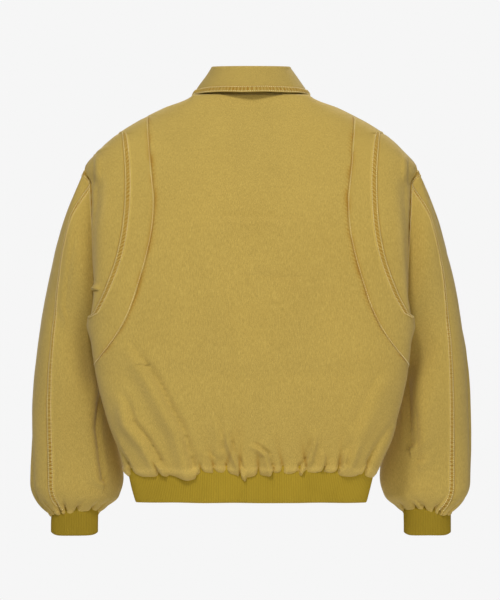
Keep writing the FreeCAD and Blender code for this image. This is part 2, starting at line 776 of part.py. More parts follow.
# ---------------------------------------------------------------- hanger loop
def build_loop():
    """Cloth loop sewn inside the back neck."""
    y = size["neck_back_reach"] - size["cloth"] - size["piece_gap"] - 7.0
    half = size["loop_width"] / 2.0
    body = doc.addObject("PartDesign::Body", "hanger_loop")
    body.Label = "hanger_loop"
    sketch = new_sketch(body, "loop_outline", "XZ_Plane")
    wide = 6.0
    closed_outline(sketch, [(-half, 0.0), (-half, -size["loop_drop"]), (half, -size["loop_drop"]),
                            (half, 0.0), (half - wide, 0.0), (half - wide, -size["loop_drop"] + wide),
                            (-half + wide, -size["loop_drop"] + wide), (-half + wide, 0.0)])
    doc.recompute()
    new_pad(body, "loop_cloth", sketch, "sizes.loop_thickness")
    doc.recompute()
    body.Placement = FreeCAD.Placement(Vector(0.0, y, -7.0), FreeCAD.Rotation())


# ---------------------------------------------------------------- build, check, write
def build_all():
    build_body()
    build_hem_rib()
    build_sleeves()
    build_collar()
    for side, sign in (("left", 1.0), ("right", -1.0)):
        build_cuff(side, sign)
    build_tapes()
    build_teeth()
    build_slider()
    build_pull()
    build_zip_ends()
    build_pockets()
    for side, sign in (("left", 1.0), ("right", -1.0)):
        build_flap(side, sign)
        build_snaps(side, sign)
    build_loop()
    doc.recompute()


def sub_parts():
    """Objects that are pieces of the jacket, by label."""
    kinds = ("PartDesign::Body", "Part::Feature", "Part::Box", "Part::Cylinder")
    return [item for item in doc.Objects if item.TypeId in kinds]


def check_document():
    for item in doc.Objects:
        if "Invalid" in item.State or "Error" in item.State:
            raise RuntimeError(f"{item.Name} failed: {item.State}")
    for item in sub_parts():
        if item.Shape.isNull() or not item.Shape.isValid() or not item.Shape.Solids:
            raise RuntimeError(f"{item.Label} has no valid solid")
        if any(solid.Volume <= 0 for solid in item.Shape.Solids):
            raise RuntimeError(f"{item.Label} is inside out")


def write_parts():
    os.makedirs("parts", exist_ok=True)
    for item in sub_parts():
        item.Shape.exportStep(f"parts/{item.Label}.step")
        print(f"{item.Label}: {len(item.Shape.Solids)} solids, {item.Shape.Volume / 1000.0:.1f} cm3")


build_all()
check_document()
write_parts()
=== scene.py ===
"""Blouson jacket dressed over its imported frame: cotton cloth, rib knit, collar, pockets and zip.

Frame: metres, +Z up, the wearer's front faces -Y, the wearer's left is +X, and the origin is the
point at the back neck where a hanger carries the jacket.
"""
import math

import bmesh
import bpy
import numpy as np
from mathutils import Matrix, Vector


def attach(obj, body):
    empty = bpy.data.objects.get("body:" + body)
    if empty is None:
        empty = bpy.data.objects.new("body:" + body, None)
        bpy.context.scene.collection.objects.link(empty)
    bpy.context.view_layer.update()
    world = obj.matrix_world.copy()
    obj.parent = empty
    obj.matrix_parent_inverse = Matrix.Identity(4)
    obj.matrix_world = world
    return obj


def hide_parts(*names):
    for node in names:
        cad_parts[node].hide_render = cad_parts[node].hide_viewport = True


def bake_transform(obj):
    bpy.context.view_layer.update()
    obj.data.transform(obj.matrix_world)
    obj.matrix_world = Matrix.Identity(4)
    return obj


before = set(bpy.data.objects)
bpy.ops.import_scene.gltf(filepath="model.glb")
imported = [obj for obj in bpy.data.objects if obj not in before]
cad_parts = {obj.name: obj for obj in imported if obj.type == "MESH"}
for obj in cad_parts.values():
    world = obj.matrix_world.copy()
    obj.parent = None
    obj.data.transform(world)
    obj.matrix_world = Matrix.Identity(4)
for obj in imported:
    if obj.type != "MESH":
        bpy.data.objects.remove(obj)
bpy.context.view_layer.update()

bl_info = {
    "name": "Blouson Jacket",
    "version": (1, 0, 0),
    "blender": (4, 5, 0),
    "location": "3D View > Sidebar > Jacket",
    "description": "Builds the cloth, knit, collar, pockets and trims of a blouson jacket",
    "category": "Object",
}

MM = 0.001

# Outline of the body, as the frame has it.
BODY_LENGTH, SHOULDER_DROP, UNDERARM_DROP = 0.625, 0.120, 0.383
CHEST_HALF, WAIST_HALF, NECK_HALF = 0.268, 0.210, 0.103
BACK_REACH, FRONT_REACH, SIDE_REACH, RIDGE_REACH = 0.118, 0.100, 0.042, 0.008
NECK_BACK_REACH, NECK_FRONT_DROP, NECK_EDGE = 0.062, 0.075, 0.096
BACK_POWER = 2.6
BODY_LOW, BODY_HIGH = -0.6246, -0.002
# Armhole ring and sleeve.
ARM_TOP = np.array((CHEST_HALF + 0.011, RIDGE_REACH, -SHOULDER_DROP - 0.0025))
ARM_BOTTOM = np.array((CHEST_HALF + 0.001, -RIDGE_REACH, -UNDERARM_DROP))
ARM_CENTRE, ARM_UP = (ARM_TOP + ARM_BOTTOM) / 2.0, (ARM_TOP - ARM_BOTTOM) / 2.0
ARM_HALF_DEPTH = 0.034
SLEEVE_LENGTH, SLEEVE_REACH, SLEEVE_FORWARD = 0.573, 0.090, 0.060
CUFF_X = ARM_TOP[0] + SLEEVE_REACH - 0.072
CUFF_HALF_WIDTH, CUFF_HALF_DEPTH = 0.0395, 0.027
PIECE_GAP = 0.0004
# Collar.
COLLAR_HEIGHT, COLLAR_TOP_HALF, COLLAR_END = 0.051, 0.064, 170.0
# Zip.
PLACKET_EDGE = 0.0065

# Back seams: (drop / underarm drop, reach / chest half width) from the shoulder down.
CENTRE_SEAM = ((0.087, 0.645), (0.315, 0.619), (0.47, 0.600), (0.63, 0.623), (0.85, 0.709),
               (0.977, 0.780), (1.07, 0.862), (1.175, 0.985))
OUTER_SEAM = ((0.160, 0.806), (0.30, 0.790), (0.405, 0.787), (0.564, 0.802), (0.705, 0.840),
              (0.843, 0.907), (0.948, 0.974))

# Folds of the lower back: ((x, z) millimetre points), width and depth.
# A negative width puts the ridge on the other side of the line.
BACK_FOLDS = (
    (((216, -390), (184, -433), (158, -469), (133, -519), (111, -558), (94, -619)), 15, 3.4),
    (((227, -479), (205, -512), (197, -543), (171, -576), (151, -610)), 12, 3.2),
    (((237, -554), (224, -588), (210, -615)), 8, 2.4),
    (((64, -520), (52, -545), (45, -574), (47, -590)), 9, 1.4),
    (((30, -545), (34, -568), (24, -600), (12, -624)), 6, 2.8),
    (((78, -584), (83, -619)), 5, 1.2),
    (((70, -591), (60, -606), (60, -620)), 5, 2.0),
    (((6, -574), (-14, -584), (-30, -595), (-36, -620)), 6, 2.6),
    (((-100, -550), (-99, -580), (-92, -606), (-81, -624)), -6, 3.0),
    (((-122, -588), (-128, -606), (-126, -620)), 6, 1.8),
    (((-152, -592), (-147, -620)), -6, 1.8),
    (((-172, -566), (-165, -596), (-160, -612)), -8, 1.6),
    (((-248, -520), (-214, -578), (-198, -610)), -12, 1.6),
    (((-197, -500), (-168, -568), (-160, -590)), -14, 1.0),
    (((-226, -430), (-196, -490), (-170, -545)), -18, 1.2),
    (((84, -196), (40, -201), (-20, -199), (-60, -202)), 12, 0.7),
    (((-110, -300), (-60, -306), (-10, -300)), 14, 0.5),
    (((250, -327), (258, -325), (268, -325)), 4, 1.6),
    (((228, -85), (245, -91), (260, -97)), 3, 0.5),
)
# Where the hem is pinched at the back, in millimetres across, and round the front, in degrees.
HEM_PINCHES_BACK = (206, 158, 84, 62, 42, 18.5, -12, -37, -53, -80.6, -92.4, -122.6, -147, -196.6)
HEM_PINCHES_SIDE = (96, 103, 109, 118, 126, 131, 139, 146, 150, 157, 163, 169)
# Folds of the left sleeve, (turn, share of the length) points, width in millimetres, depth.
SLEEVE_FOLDS_LEFT = (
    (((152, 0.31), (139, 0.42), (128, 0.52), (120, 0.64), (122, 0.78), (126, 0.86)), 11, 3.4),
    (((60, 0.06), (66, 0.16), (74, 0.30)), 14, 1.2),
)
SLEEVE_FOLDS_RIGHT = (
    (((140, 0.30), (128, 0.44), (118, 0.60), (112, 0.72)), 16, 3.0),
    (((112, 0.52), (104, 0.66), (100, 0.80)), 12, 2.0),
)


# ---------------------------------------------------------------- curves and noise
def ease(share):
    """Smooth step from 0 to 1."""
    share = np.clip(share, 0.0, 1.0)
    return share * share * (3.0 - 2.0 * share)


def smooth_curve(points, at):
    """Smooth curve through (place, value) points, held flat beyond the ends."""
    place, value = np.array(points, float).T
    last = len(place) - 1
    order = np.arange(last + 1)
    before, after = np.maximum(order - 1, 0), np.minimum(order + 1, last)
    slope = (value[after] - value[before]) / (place[after] - place[before])
    at = np.clip(at, place[0], place[-1])
    index = np.clip(np.searchsorted(place, at, side="right") - 1, 0, last - 1)
    span = place[index + 1] - place[index]
    share = (at - place[index]) / span
    square, cube = share ** 2, share ** 3
    return ((2 * cube - 3 * square + 1) * value[index] + (cube - 2 * square + share) * slope[index] * span
            + (3 * square - 2 * cube) * value[index + 1] + (cube - square) * slope[index + 1] * span)


def smooth_noise(x, y, seed):
    """Smooth noise from -1 to 1 over a plane, with one swing per unit."""
    table = np.random.default_rng(seed).uniform(-1.0, 1.0, (64, 64))
    x, y = np.broadcast_arrays(x, y)
    column, row = np.floor(x).astype(int), np.floor(y).astype(int)
    share_x, share_y = ease(x - column), ease(y - row)

    def corner(right, up):
        return table[(row + up) % 64, (column + right) % 64]

    low = corner(0, 0) * (1.0 - share_x) + corner(1, 0) * share_x
    high = corner(0, 1) * (1.0 - share_x) + corner(1, 1) * share_x
    return low * (1.0 - share_y) + high * share_y


def bell(distance, width):
    return np.exp(-(distance / width) ** 2)


# ---------------------------------------------------------------- body surface
def half_width(z):
    drop = np.maximum(-z, 0.0)
    spread = 1.0 - np.maximum(1.0 - drop / SHOULDER_DROP, 0.0) ** 1.8
    taper = np.clip((drop - UNDERARM_DROP) / (BODY_LENGTH - UNDERARM_DROP), 0.0, 1.0)
    return NECK_HALF + (CHEST_HALF - NECK_HALF) * spread - (CHEST_HALF - WAIST_HALF) * taper ** 1.9


def back_y(z):
    fill = 1.0 - (1.0 - np.clip(-z / (0.48 * BODY_LENGTH), 0.0, 1.0)) ** 2
    draw = np.maximum((-z / BODY_LENGTH - 0.77) / 0.23, 0.0) ** 2
    return NECK_BACK_REACH + (BACK_REACH - NECK_BACK_REACH) * fill - 0.026 * draw


def front_y(z):
    fill = 1.0 - (1.0 - np.clip(-z / NECK_FRONT_DROP, 0.0, 1.0)) ** 2
    return -FRONT_REACH * (0.2 + 0.8 * fill)


def side_y(z):
    return RIDGE_REACH + (SIDE_REACH - RIDGE_REACH) * ease((-z - 0.110) / 0.120)


def front_power(z):
    return 2.0 + ease((-z - 0.060) / 0.060) * ease((UNDERARM_DROP + z) / 0.090)


def surface_point(angle, z):
    """Plain body surface: angle 0 is the centre back, 90 the side and 180 the centre front."""
    angle, z = np.broadcast_arrays(angle, z)
    turn = np.radians(np.abs(angle))
    at_back = np.abs(angle) <= 90.0
    power = np.where(at_back, BACK_POWER, front_power(z))
    across = half_width(z) * np.clip(np.sin(turn), 0.0, 1.0) ** (2.0 / power)
    reach = np.abs(np.cos(turn)) ** (2.0 / power)
    far = np.where(at_back, back_y(z), front_y(z))
    return np.stack([np.copysign(across, angle), side_y(z) + (far - side_y(z)) * reach, z], axis=-1)


def angle_at_y(y, z):
    middle = side_y(z)
    behind = np.clip((y - middle) / (back_y(z) - middle), 0.0, 1.0)
    ahead = np.clip((middle - y) / (middle - front_y(z)), 0.0, 1.0)
    return np.where(y >= middle, np.degrees(np.arccos(behind ** (BACK_POWER / 2.0))),
                    180.0 - np.degrees(np.arccos(ahead ** (front_power(z) / 2.0))))


def back_angle_at_x(x, z):
    return np.degrees(np.arcsin(np.clip(x / half_width(z), 0.0, 1.0) ** (BACK_POWER / 2.0)))


def front_angle_at_x(x, z):
    return 180.0 - np.degrees(np.arcsin(np.clip(x / half_width(z), 0.0, 1.0) ** (front_power(z) / 2.0)))


def side_edge(z, facing):
    """Edge of the cloth at the side: shoulder ridge, armhole rim (facing +1 back, -1 front), side seam."""
    z, facing = np.broadcast_arrays(np.asarray(z, float), facing)
    flare = ARM_TOP[0] - half_width(ARM_TOP[2])
    ridge_x = half_width(z) + flare * ease(1.0 - (z - ARM_TOP[2]) / 0.036)
    turn = np.arccos(np.clip((z - ARM_CENTRE[2]) / ARM_UP[2], -1.0, 1.0))
    rim_x = ARM_CENTRE[0] + ARM_UP[0] * np.cos(turn) - PIECE_GAP
    rim_y = ARM_CENTRE[1] + ARM_UP[1] * np.cos(turn) + ARM_HALF_DEPTH * facing * np.sin(turn)
    seam_y = ARM_BOTTOM[1]
    seam = surface_point(angle_at_y(seam_y, z), z)
    foot = surface_point(angle_at_y(seam_y, ARM_BOTTOM[2]), ARM_BOTTOM[2])
    pull = ARM_BOTTOM[0] - PIECE_GAP - foot[0]
    seam_x = seam[..., 0] + pull * ease(1.0 - (ARM_BOTTOM[2] - z) / 0.035)
    above, below = z >= ARM_TOP[2], z <= ARM_BOTTOM[2]
    x = np.select([above, below], [ridge_x, seam_x], rim_x)
    y = np.select([above, below], [side_y(z), seam[..., 1]], rim_y)
    return np.stack([x, y, z], axis=-1)


def edge_angle(z, facing):
    return angle_at_y(side_edge(z, facing)[..., 1], z)


def body_point(angle, z):
    """Body surface drawn out to the shoulder, armhole and side seam edges."""
    angle, z = np.broadcast_arrays(angle, z)
    facing = np.where(np.abs(angle) <= edge_angle(z, 1.0), 1.0, -1.0)
    limit = edge_angle(z, facing)
    near = np.maximum(1.0 - np.abs(np.abs(angle) - limit) / 40.0, 0.0) ** 2
    shift = (side_edge(z, facing) - surface_point(limit, z)) * near[..., None]
    shift[..., 0] = np.copysign(shift[..., 0], angle) * np.sign(shift[..., 0] + 1e-12)
    return surface_point(angle, z) + shift


def seam_angle(seam, z):
    """Angle of a back seam; past its last point it runs on to the side seam."""
    z = np.asarray(z, float)
    top_z, end_z = -seam[0][0] * UNDERARM_DROP, -seam[-1][0] * UNDERARM_DROP
    limit = edge_angle(z, 1.0)
    reach = smooth_curve(seam, -z / UNDERARM_DROP) * CHEST_HALF
    at_end = back_angle_at_x(seam[-1][1] * CHEST_HALF, end_z)
    beyond = at_end + (limit - at_end) * (end_z - z) / 0.016
    angle = np.where(z < end_z, beyond, back_angle_at_x(reach, z))
    return np.where(z >= top_z, limit, np.minimum(angle, limit))


def neckline_x(z):
    share = np.clip(-z / NECK_FRONT_DROP, 0.0, 1.0)
    return NECK_EDGE * np.sqrt(np.maximum(1.0 - share * share, 0.0))


def front_edge_angle(z):
    return front_angle_at_x(np.maximum(neckline_x(z), PLACKET_EDGE), z) - 0.12


# ---------------------------------------------------------------- sleeve surface
def sleeve_ring(along):
    """Centre, half width vector and half depth of the left sleeve at a share of its length."""
    along = np.asarray(along, float)
    swell = 1.0 - (1.0 - np.minimum(along / 0.87, 1.0)) ** 2.5
    outer_x, outer_z = ARM_TOP[0] + SLEEVE_REACH * swell, ARM_TOP[2] - SLEEVE_LENGTH * along
    cuff_z = ARM_TOP[2] - SLEEVE_LENGTH
    inner_x = ARM_BOTTOM[0] + 0.005 * ease(along / 0.08) - 0.058 * ease((along - 0.04) / 0.8)
    inner_z = ARM_BOTTOM[2] + (cuff_z - ARM_BOTTOM[2]) * along
    pinch = np.maximum((along - 0.91) / 0.09, 0.0) ** 2.5
    centre_x = (outer_x + inner_x) / 2.0 * (1.0 - pinch) + CUFF_X * pinch
    centre_y = ARM_CENTRE[1] - SLEEVE_FORWARD * ease(along / 0.42)
    across_x = (outer_x - inner_x) / 2.0 * (1.0 - pinch) + CUFF_HALF_WIDTH * pinch
    across_y = ARM_UP[1] + 0.014 * ease(along / 0.2) * (1.0 - ease((along - 0.5) / 0.4))
    across_z = (outer_z - inner_z) / 2.0 * (1.0 - pinch)
    depth = smooth_curve(((0.0, 0.034), (0.15, 0.04896), (0.45, 0.072), (0.85, 0.048), (1.0, 0.048)), along)
    depth = depth * (1.0 - pinch) + CUFF_HALF_DEPTH * pinch
    centre = np.stack([centre_x + PIECE_GAP, centre_y, (outer_z + inner_z) / 2.0], axis=-1)
    return centre, np.stack([across_x, across_y, across_z], axis=-1), depth


def sleeve_point(along, turn):
    """Turn 0 is the outer edge, 90 the back and 180 the underarm edge."""
    centre, across, depth = sleeve_ring(along)
    angle = np.radians(turn)
    point = centre + across * np.cos(angle)[..., None]
    point[..., 1] += depth * np.sin(angle)
    return point


def back_seam_turn(along):
    return 28.0 + 21.0 * ease(along / 0.4)


# ---------------------------------------------------------------- cloth patches
class Patch:
    """Rectangle of cloth laid on a surface: columns run across and rows run up."""

    def __init__(self, name, columns, rows, surface, inside):
        bm = bmesh.new()
        bm.loops.layers.uv.new("cloth")
        bmesh.ops.create_grid(bm, x_segments=columns, y_segments=rows, size=0.5, calc_uvs=True)
        self.mesh = bpy.data.meshes.new(name)
        bm.to_mesh(self.mesh)
        bm.free()
        flat = np.empty(len(self.mesh.vertices) * 3, np.float32)
        self.mesh.vertices.foreach_get("co", flat)
        flat = flat.reshape(rows + 1, columns + 1, 3).astype(float) + 0.5
        self.name = name
        self.across, self.up = flat[..., 0], flat[..., 1]
        self.point = surface(self.across, self.up)
        self.marks = {}
        self.measure(inside)

    def measure(self, inside):
        """Outward normals, and distances along the cloth from its four edges."""
        across = np.gradient(self.point, axis=1)
        up = np.gradient(self.point, axis=0)
        normal = np.cross(across, up)
        length = np.linalg.norm(normal, axis=-1, keepdims=True)
        normal = normal / np.maximum(length, 1e-12)
        outward = ((self.point - inside(self.point)) * normal).sum(axis=-1).mean()
        self.turned = outward < 0.0
        self.normal = -normal if self.turned else normal
        step = np.linalg.norm(np.diff(self.point, axis=1), axis=-1)
        rise = np.linalg.norm(np.diff(self.point, axis=0), axis=-1)
        self.left = np.pad(np.cumsum(step, axis=1), ((0, 0), (1, 0)))
        self.right = self.left[:, -1:] - self.left
        self.low = np.pad(np.cumsum(rise, axis=0), ((1, 0), (0, 0)))
        self.high = self.low[-1:, :] - self.low
        quads = (length[:-1, :-1] + length[1:, :-1] + length[:-1, 1:] + length[1:, 1:]) / 4.0
        self.cut = float(quads.sum())

    def raise_by(self, height):
        self.point = self.point + self.normal * height[..., None]

    def mark(self, name, value):
        self.marks[name] = np.maximum(self.marks.get(name, 0.0), value)

    def line(self, distance, from_right, low=0.0, high=1.0):
        """Points and normals that run up the patch at a distance from one of its edges."""
        places, normals = [], []
        for row in range(self.point.shape[0]):
            if not low <= self.up[row, 0] <= high:
                continue
            span = self.right[row, ::-1] if from_right else self.left[row]
            if span[-1] <= distance:
                continue
            points = self.point[row, ::-1] if from_right else self.point[row]
            facing = self.normal[row, ::-1] if from_right else self.normal[row]
            places.append([np.interp(distance, span, points[:, k]) for k in range(3)])
            normals.append([np.interp(distance, span, facing[:, k]) for k in range(3)])
        return np.array(places), np.array(normals)

    def level_line(self, distance, from_high, first=0.0, last=1.0):
        """Points and normals that run across the patch at a distance from its low or high edge."""
        places, normals = [], []
        for column in range(self.point.shape[1]):
            if not first <= self.across[0, column] <= last:
                continue
            span = self.high[::-1, column] if from_high else self.low[:, column]
            points = self.point[::-1, column] if from_high else self.point[:, column]
            facing = self.normal[::-1, column] if from_high else self.normal[:, column]
            places.append([np.interp(distance, span, points[:, k]) for k in range(3)])
            normals.append([np.interp(distance, span, facing[:, k]) for k in range(3)])
        return np.array(places), np.array(normals)

    def make(self, material, thickness):
        """Mesh object of the patch, with its cloth map in metres and a live wall."""
        self.mesh.vertices.foreach_set("co", self.point.reshape(-1).astype(np.float32))
        cloth = np.stack([self.left, self.low], axis=-1).reshape(-1, 2)
        corners = np.empty(len(self.mesh.loops), np.int32)
        self.mesh.loops.foreach_get("vertex_index", corners)
        self.mesh.uv_layers["cloth"].data.foreach_set("uv", cloth[corners].reshape(-1).astype(np.float32))
        for name in ("wear", "painted_shade"):
            value = np.broadcast_to(self.marks.get(name, 0.0), self.across.shape)
            attribute = self.mesh.attributes.new(name, "FLOAT", "POINT")
            attribute.data.foreach_set("value", np.clip(value, 0.0, 1.0).reshape(-1).astype(np.float32))
        if self.turned:
            self.mesh.flip_normals()
        self.mesh.shade_smooth()
        self.mesh.update()
        item = add_object(self.name, self.mesh, material)
        if thickness:
            wall = item.modifiers.new("wall", "SOLIDIFY")
            wall.thickness = thickness
            wall.offset = -1.0
        return item


def add_object(name, mesh, material):
    item = bpy.data.objects.new(name, mesh)
    bpy.context.scene.collection.objects.link(item)
    mesh.materials.clear()
    mesh.materials.append(material)
    return item


def even_angles(point, first, last, z, share):
    """Angles that split each row between two angle functions into even lengths of cloth."""
    fine = np.linspace(0.0, 1.0, 161)
    start, end = first(z)[:, None], last(z)[:, None]
    angles = start + (end - start) * fine
    row = point(angles, z[:, None] + 0.0 * angles)
    run = np.pad(np.cumsum(np.linalg.norm(np.diff(row, axis=1), axis=-1), axis=1), ((0, 0), (1, 0)))
    return np.array([np.interp(share * length[-1], length, angle) for length, angle in zip(run, angles)])


def body_inside(point):
    return np.stack([0.0 * point[..., 0], 0.0 * point[..., 1] + 0.010, point[..., 2]], axis=-1)


# ---------------------------------------------------------------- relief of seams, folds and gathers
def ditch_seam(distance, run, seed):
    """Plain seam pressed open: height, wear, and painted shade in the pucker hollows beside it."""
    near = np.exp(-distance / 0.008)
    pucker = 0.8 * puff_cells(run, seed)
    patchy = smooth_noise(run / 0.021, 0.5, seed + 3)
    height = 0.40 * MM * near * pucker - 0.10 * MM * bell(distance, 1.3 * MM)
    # Painted shade: darker where the puckers dip, in random patches.
    painted_shade = np.clip(0.45 - 0.9 * pucker - 1.2 * patchy, 0.0, 1.0) * bell(distance, 5.0 * MM)
    wear = np.clip(pucker, 0.0, 1.0) * bell(distance - 3.0 * MM, 2.5 * MM) * 0.3
    return height, wear, painted_shade


def puff_cells(run, seed):
    """Uneven row of puffs, about one for every two stitches, from -1 to 1."""
    drift = 2.4 * smooth_noise(run / 0.024, 0.5, seed + 5)
    strength = 0.75 + 0.45 * smooth_noise(run / 0.017, 0.5, seed + 6)
    return strength * np.sin(2.0 * np.pi * run / 0.0066 + drift)


def felled_strip(distance, run, width, seed):
    """Folded allowance stitched down along both edges and puffed between the two rows."""
    inside = ease((width - distance) / (1.2 * MM)) * ease(distance / (0.7 * MM) + 0.15)
    rows = bell(distance - 1.9 * MM, 0.8 * MM) + bell(distance - width + 1.8 * MM, 0.8 * MM)
    between = ease((distance - 1.8 * MM) / (1.1 * MM)) * ease((width - 1.8 * MM - distance) / (1.1 * MM))
    puff = puff_cells(run, seed)
    height = inside * (1.1 * MM + 1.0 * MM * puff * between - 0.5 * MM * rows)
    height += 0.7 * MM * smooth_noise(run / 0.012, 0.5, seed + 1) * np.exp(-np.abs(distance - width) / 0.008)
    wear = bell(distance - 0.4 * MM, 0.9 * MM) + 0.75 * bell(distance - width - 0.4 * MM, 1.1 * MM)
    wear = np.maximum(wear, 0.50 * between * np.clip(puff, 0.0, 1.0))
    # Painted shade: darker in the hollows between the puffs.
    painted_shade = np.clip(0.50 - 1.5 * puff, 0.0, 1.0) * between
    return height, wear * np.clip(0.8 + 0.4 * puff, 0.0, 1.0), painted_shade


def fold_relief(x, z, folds, strength=2.8):
    """Drape folds: a sharp valley with a soft ridge beside it along each line."""
    height = np.zeros(np.broadcast(x, z).shape)
    for points, width, depth in folds:
        line = np.array(points, float) * MM
        parts = len(line) - 1
        nearest = np.full(height.shape, 9.0)
        side, share = np.zeros(height.shape), np.zeros(height.shape)
        for index in range(parts):
            start, run = line[index], line[index + 1] - line[index]
            place = np.clip(((x - start[0]) * run[0] + (z - start[1]) * run[1]) / (run @ run), 0.0, 1.0)
            off_x, off_z = x - start[0] - place * run[0], z - start[1] - place * run[1]
            distance = np.hypot(off_x, off_z)
            closer = distance < nearest
            nearest = np.where(closer, distance, nearest)
            side = np.where(closer, np.sign(run[0] * off_z - run[1] * off_x), side)
            share = np.where(closer, (index + place) / parts, share)
        reach = abs(width) * MM
        signed = nearest * side * np.sign(width)
        fade = ease(share / 0.45)
        ridge = np.where(signed > 0.0, bell(signed - reach, reach), bell(signed - reach, 1.5 * reach))
        height += strength * depth * MM * fade * (1.05 * ridge - 0.75 * bell(signed, 0.48 * reach))
    return height


def drape(x, z, seed):
    """Slow swell of the hanging cloth with a fainter crumple over it."""
    swell = smooth_noise(x / 0.105, z / 0.16, seed) * 3.0 + smooth_noise(x / 0.05, z / 0.11, seed + 1) * 1.5
    crumple = smooth_noise(x / 0.019, z / 0.026, seed + 2) * 0.35
    return (swell + crumple) * MM


def gather(place, pinches, height, seed):
    """Scallops between pinches of an edge: drop of the edge, outward swell and crease depth."""
    random = np.random.default_rng(seed)
    pinches = np.sort(np.asarray(pinches, float))
    index = np.clip(np.searchsorted(pinches, place, side="right") - 1, 0, len(pinches) - 2)
    start, end = pinches[index], pinches[index + 1]
    width = end - start
    share = np.clip((place - start) / width, 0.0, 1.0)
    lobe = np.sqrt(np.maximum(1.0 - (2.0 * share - 1.0) ** 2, 0.0))
    drop = np.clip(0.10 * width, 1.0 * MM, 4.5 * MM) * lobe
    swell = np.clip(0.16 * width, 2.0 * MM, 6.0 * MM) * lobe * np.exp(-height / (0.30 * width + 7.0 * MM))
    crease = np.zeros(np.broadcast(place, height).shape)
    for pinch, reach, slant in zip(pinches, random.uniform(5.0, 20.0, len(pinches)),
                                   random.uniform(-0.35, 0.35, len(pinches))):
        off = place - pinch - slant * height
        crease += bell(off, 1.5 * MM + 0.08 * height) * np.exp(-height / (reach * MM))
    return drop, swell * 1.25 - 7.0 * MM * crease


# ---------------------------------------------------------------- thread
STITCH_PITCH, STITCH_LENGTH, STITCH_RADIUS = 3.6 * MM, 1.9 * MM, 0.72 * MM
STITCHES_PER_BATCH = 40


def stitch_places(places, normals, pitch, length, radius):
    """Placement of each short raised stitch at an even pitch along a line."""
    if len(places) < 2:
        return []
    turned = []
    run = np.concatenate([[0.0], np.cumsum(np.linalg.norm(np.diff(places, axis=0), axis=1))])
    marks = np.arange(pitch / 2.0, run[-1], pitch)
    centre = np.stack([np.interp(marks, run, places[:, k]) for k in range(3)], axis=1)
    ahead = np.stack([np.interp(marks + pitch / 4.0, run, places[:, k]) for k in range(3)], axis=1)
    behind = np.stack([np.interp(marks - pitch / 4.0, run, places[:, k]) for k in range(3)], axis=1)
    facing = np.stack([np.interp(marks, run, normals[:, k]) for k in range(3)], axis=1)
    for middle, front, rear, outward in zip(centre, ahead, behind, facing):
        forward = Vector(front - rear).normalized()
        up = Vector(outward)
        up = (up - forward * up.dot(forward)).normalized()
        side = forward.cross(up)
        turn = Matrix((forward * length / 2.0, side * radius, up * radius * 0.8)).transposed().to_4x4()
        place = Matrix.Translation(Vector(middle) + up * radius * 0.35)
        turned.append(place @ turn @ Matrix.Rotation(math.pi / 2.0, 4, "Y"))
    return turned


def sew(name, rows):
    """Raised stitches along rows of points and normals, all in the sewing thread material."""
    matrices = [matrix for places, normals in rows
                for matrix in stitch_places(places, normals, STITCH_PITCH, STITCH_LENGTH, STITCH_RADIUS)]
    joined = bmesh.new()
    batch_mesh = bpy.data.meshes.new("stitch_batch")
    for first in range(0, len(matrices), STITCHES_PER_BATCH):
        batch = bmesh.new()
        for matrix in matrices[first:first + STITCHES_PER_BATCH]:
            bmesh.ops.create_uvsphere(batch, u_segments=6, v_segments=4, radius=1.0, matrix=matrix)
        batch.to_mesh(batch_mesh)
        batch.free()
        joined.from_mesh(batch_mesh)
    bpy.data.meshes.remove(batch_mesh)
    bmesh.ops.recalc_face_normals(joined, faces=joined.faces)
    mesh = bpy.data.meshes.new(name)
    joined.to_mesh(mesh)
    joined.free()
    mesh.shade_smooth()
    thread = add_object(name, mesh, finish("sewing_thread"))
    return thread


# ---------------------------------------------------------------- materials
def linear(red, green, blue):
    """Scene colour of an 8-bit display colour."""
    return tuple(((c / 255.0 + 0.055) / 1.055) ** 2.4 for c in (red, green, blue))


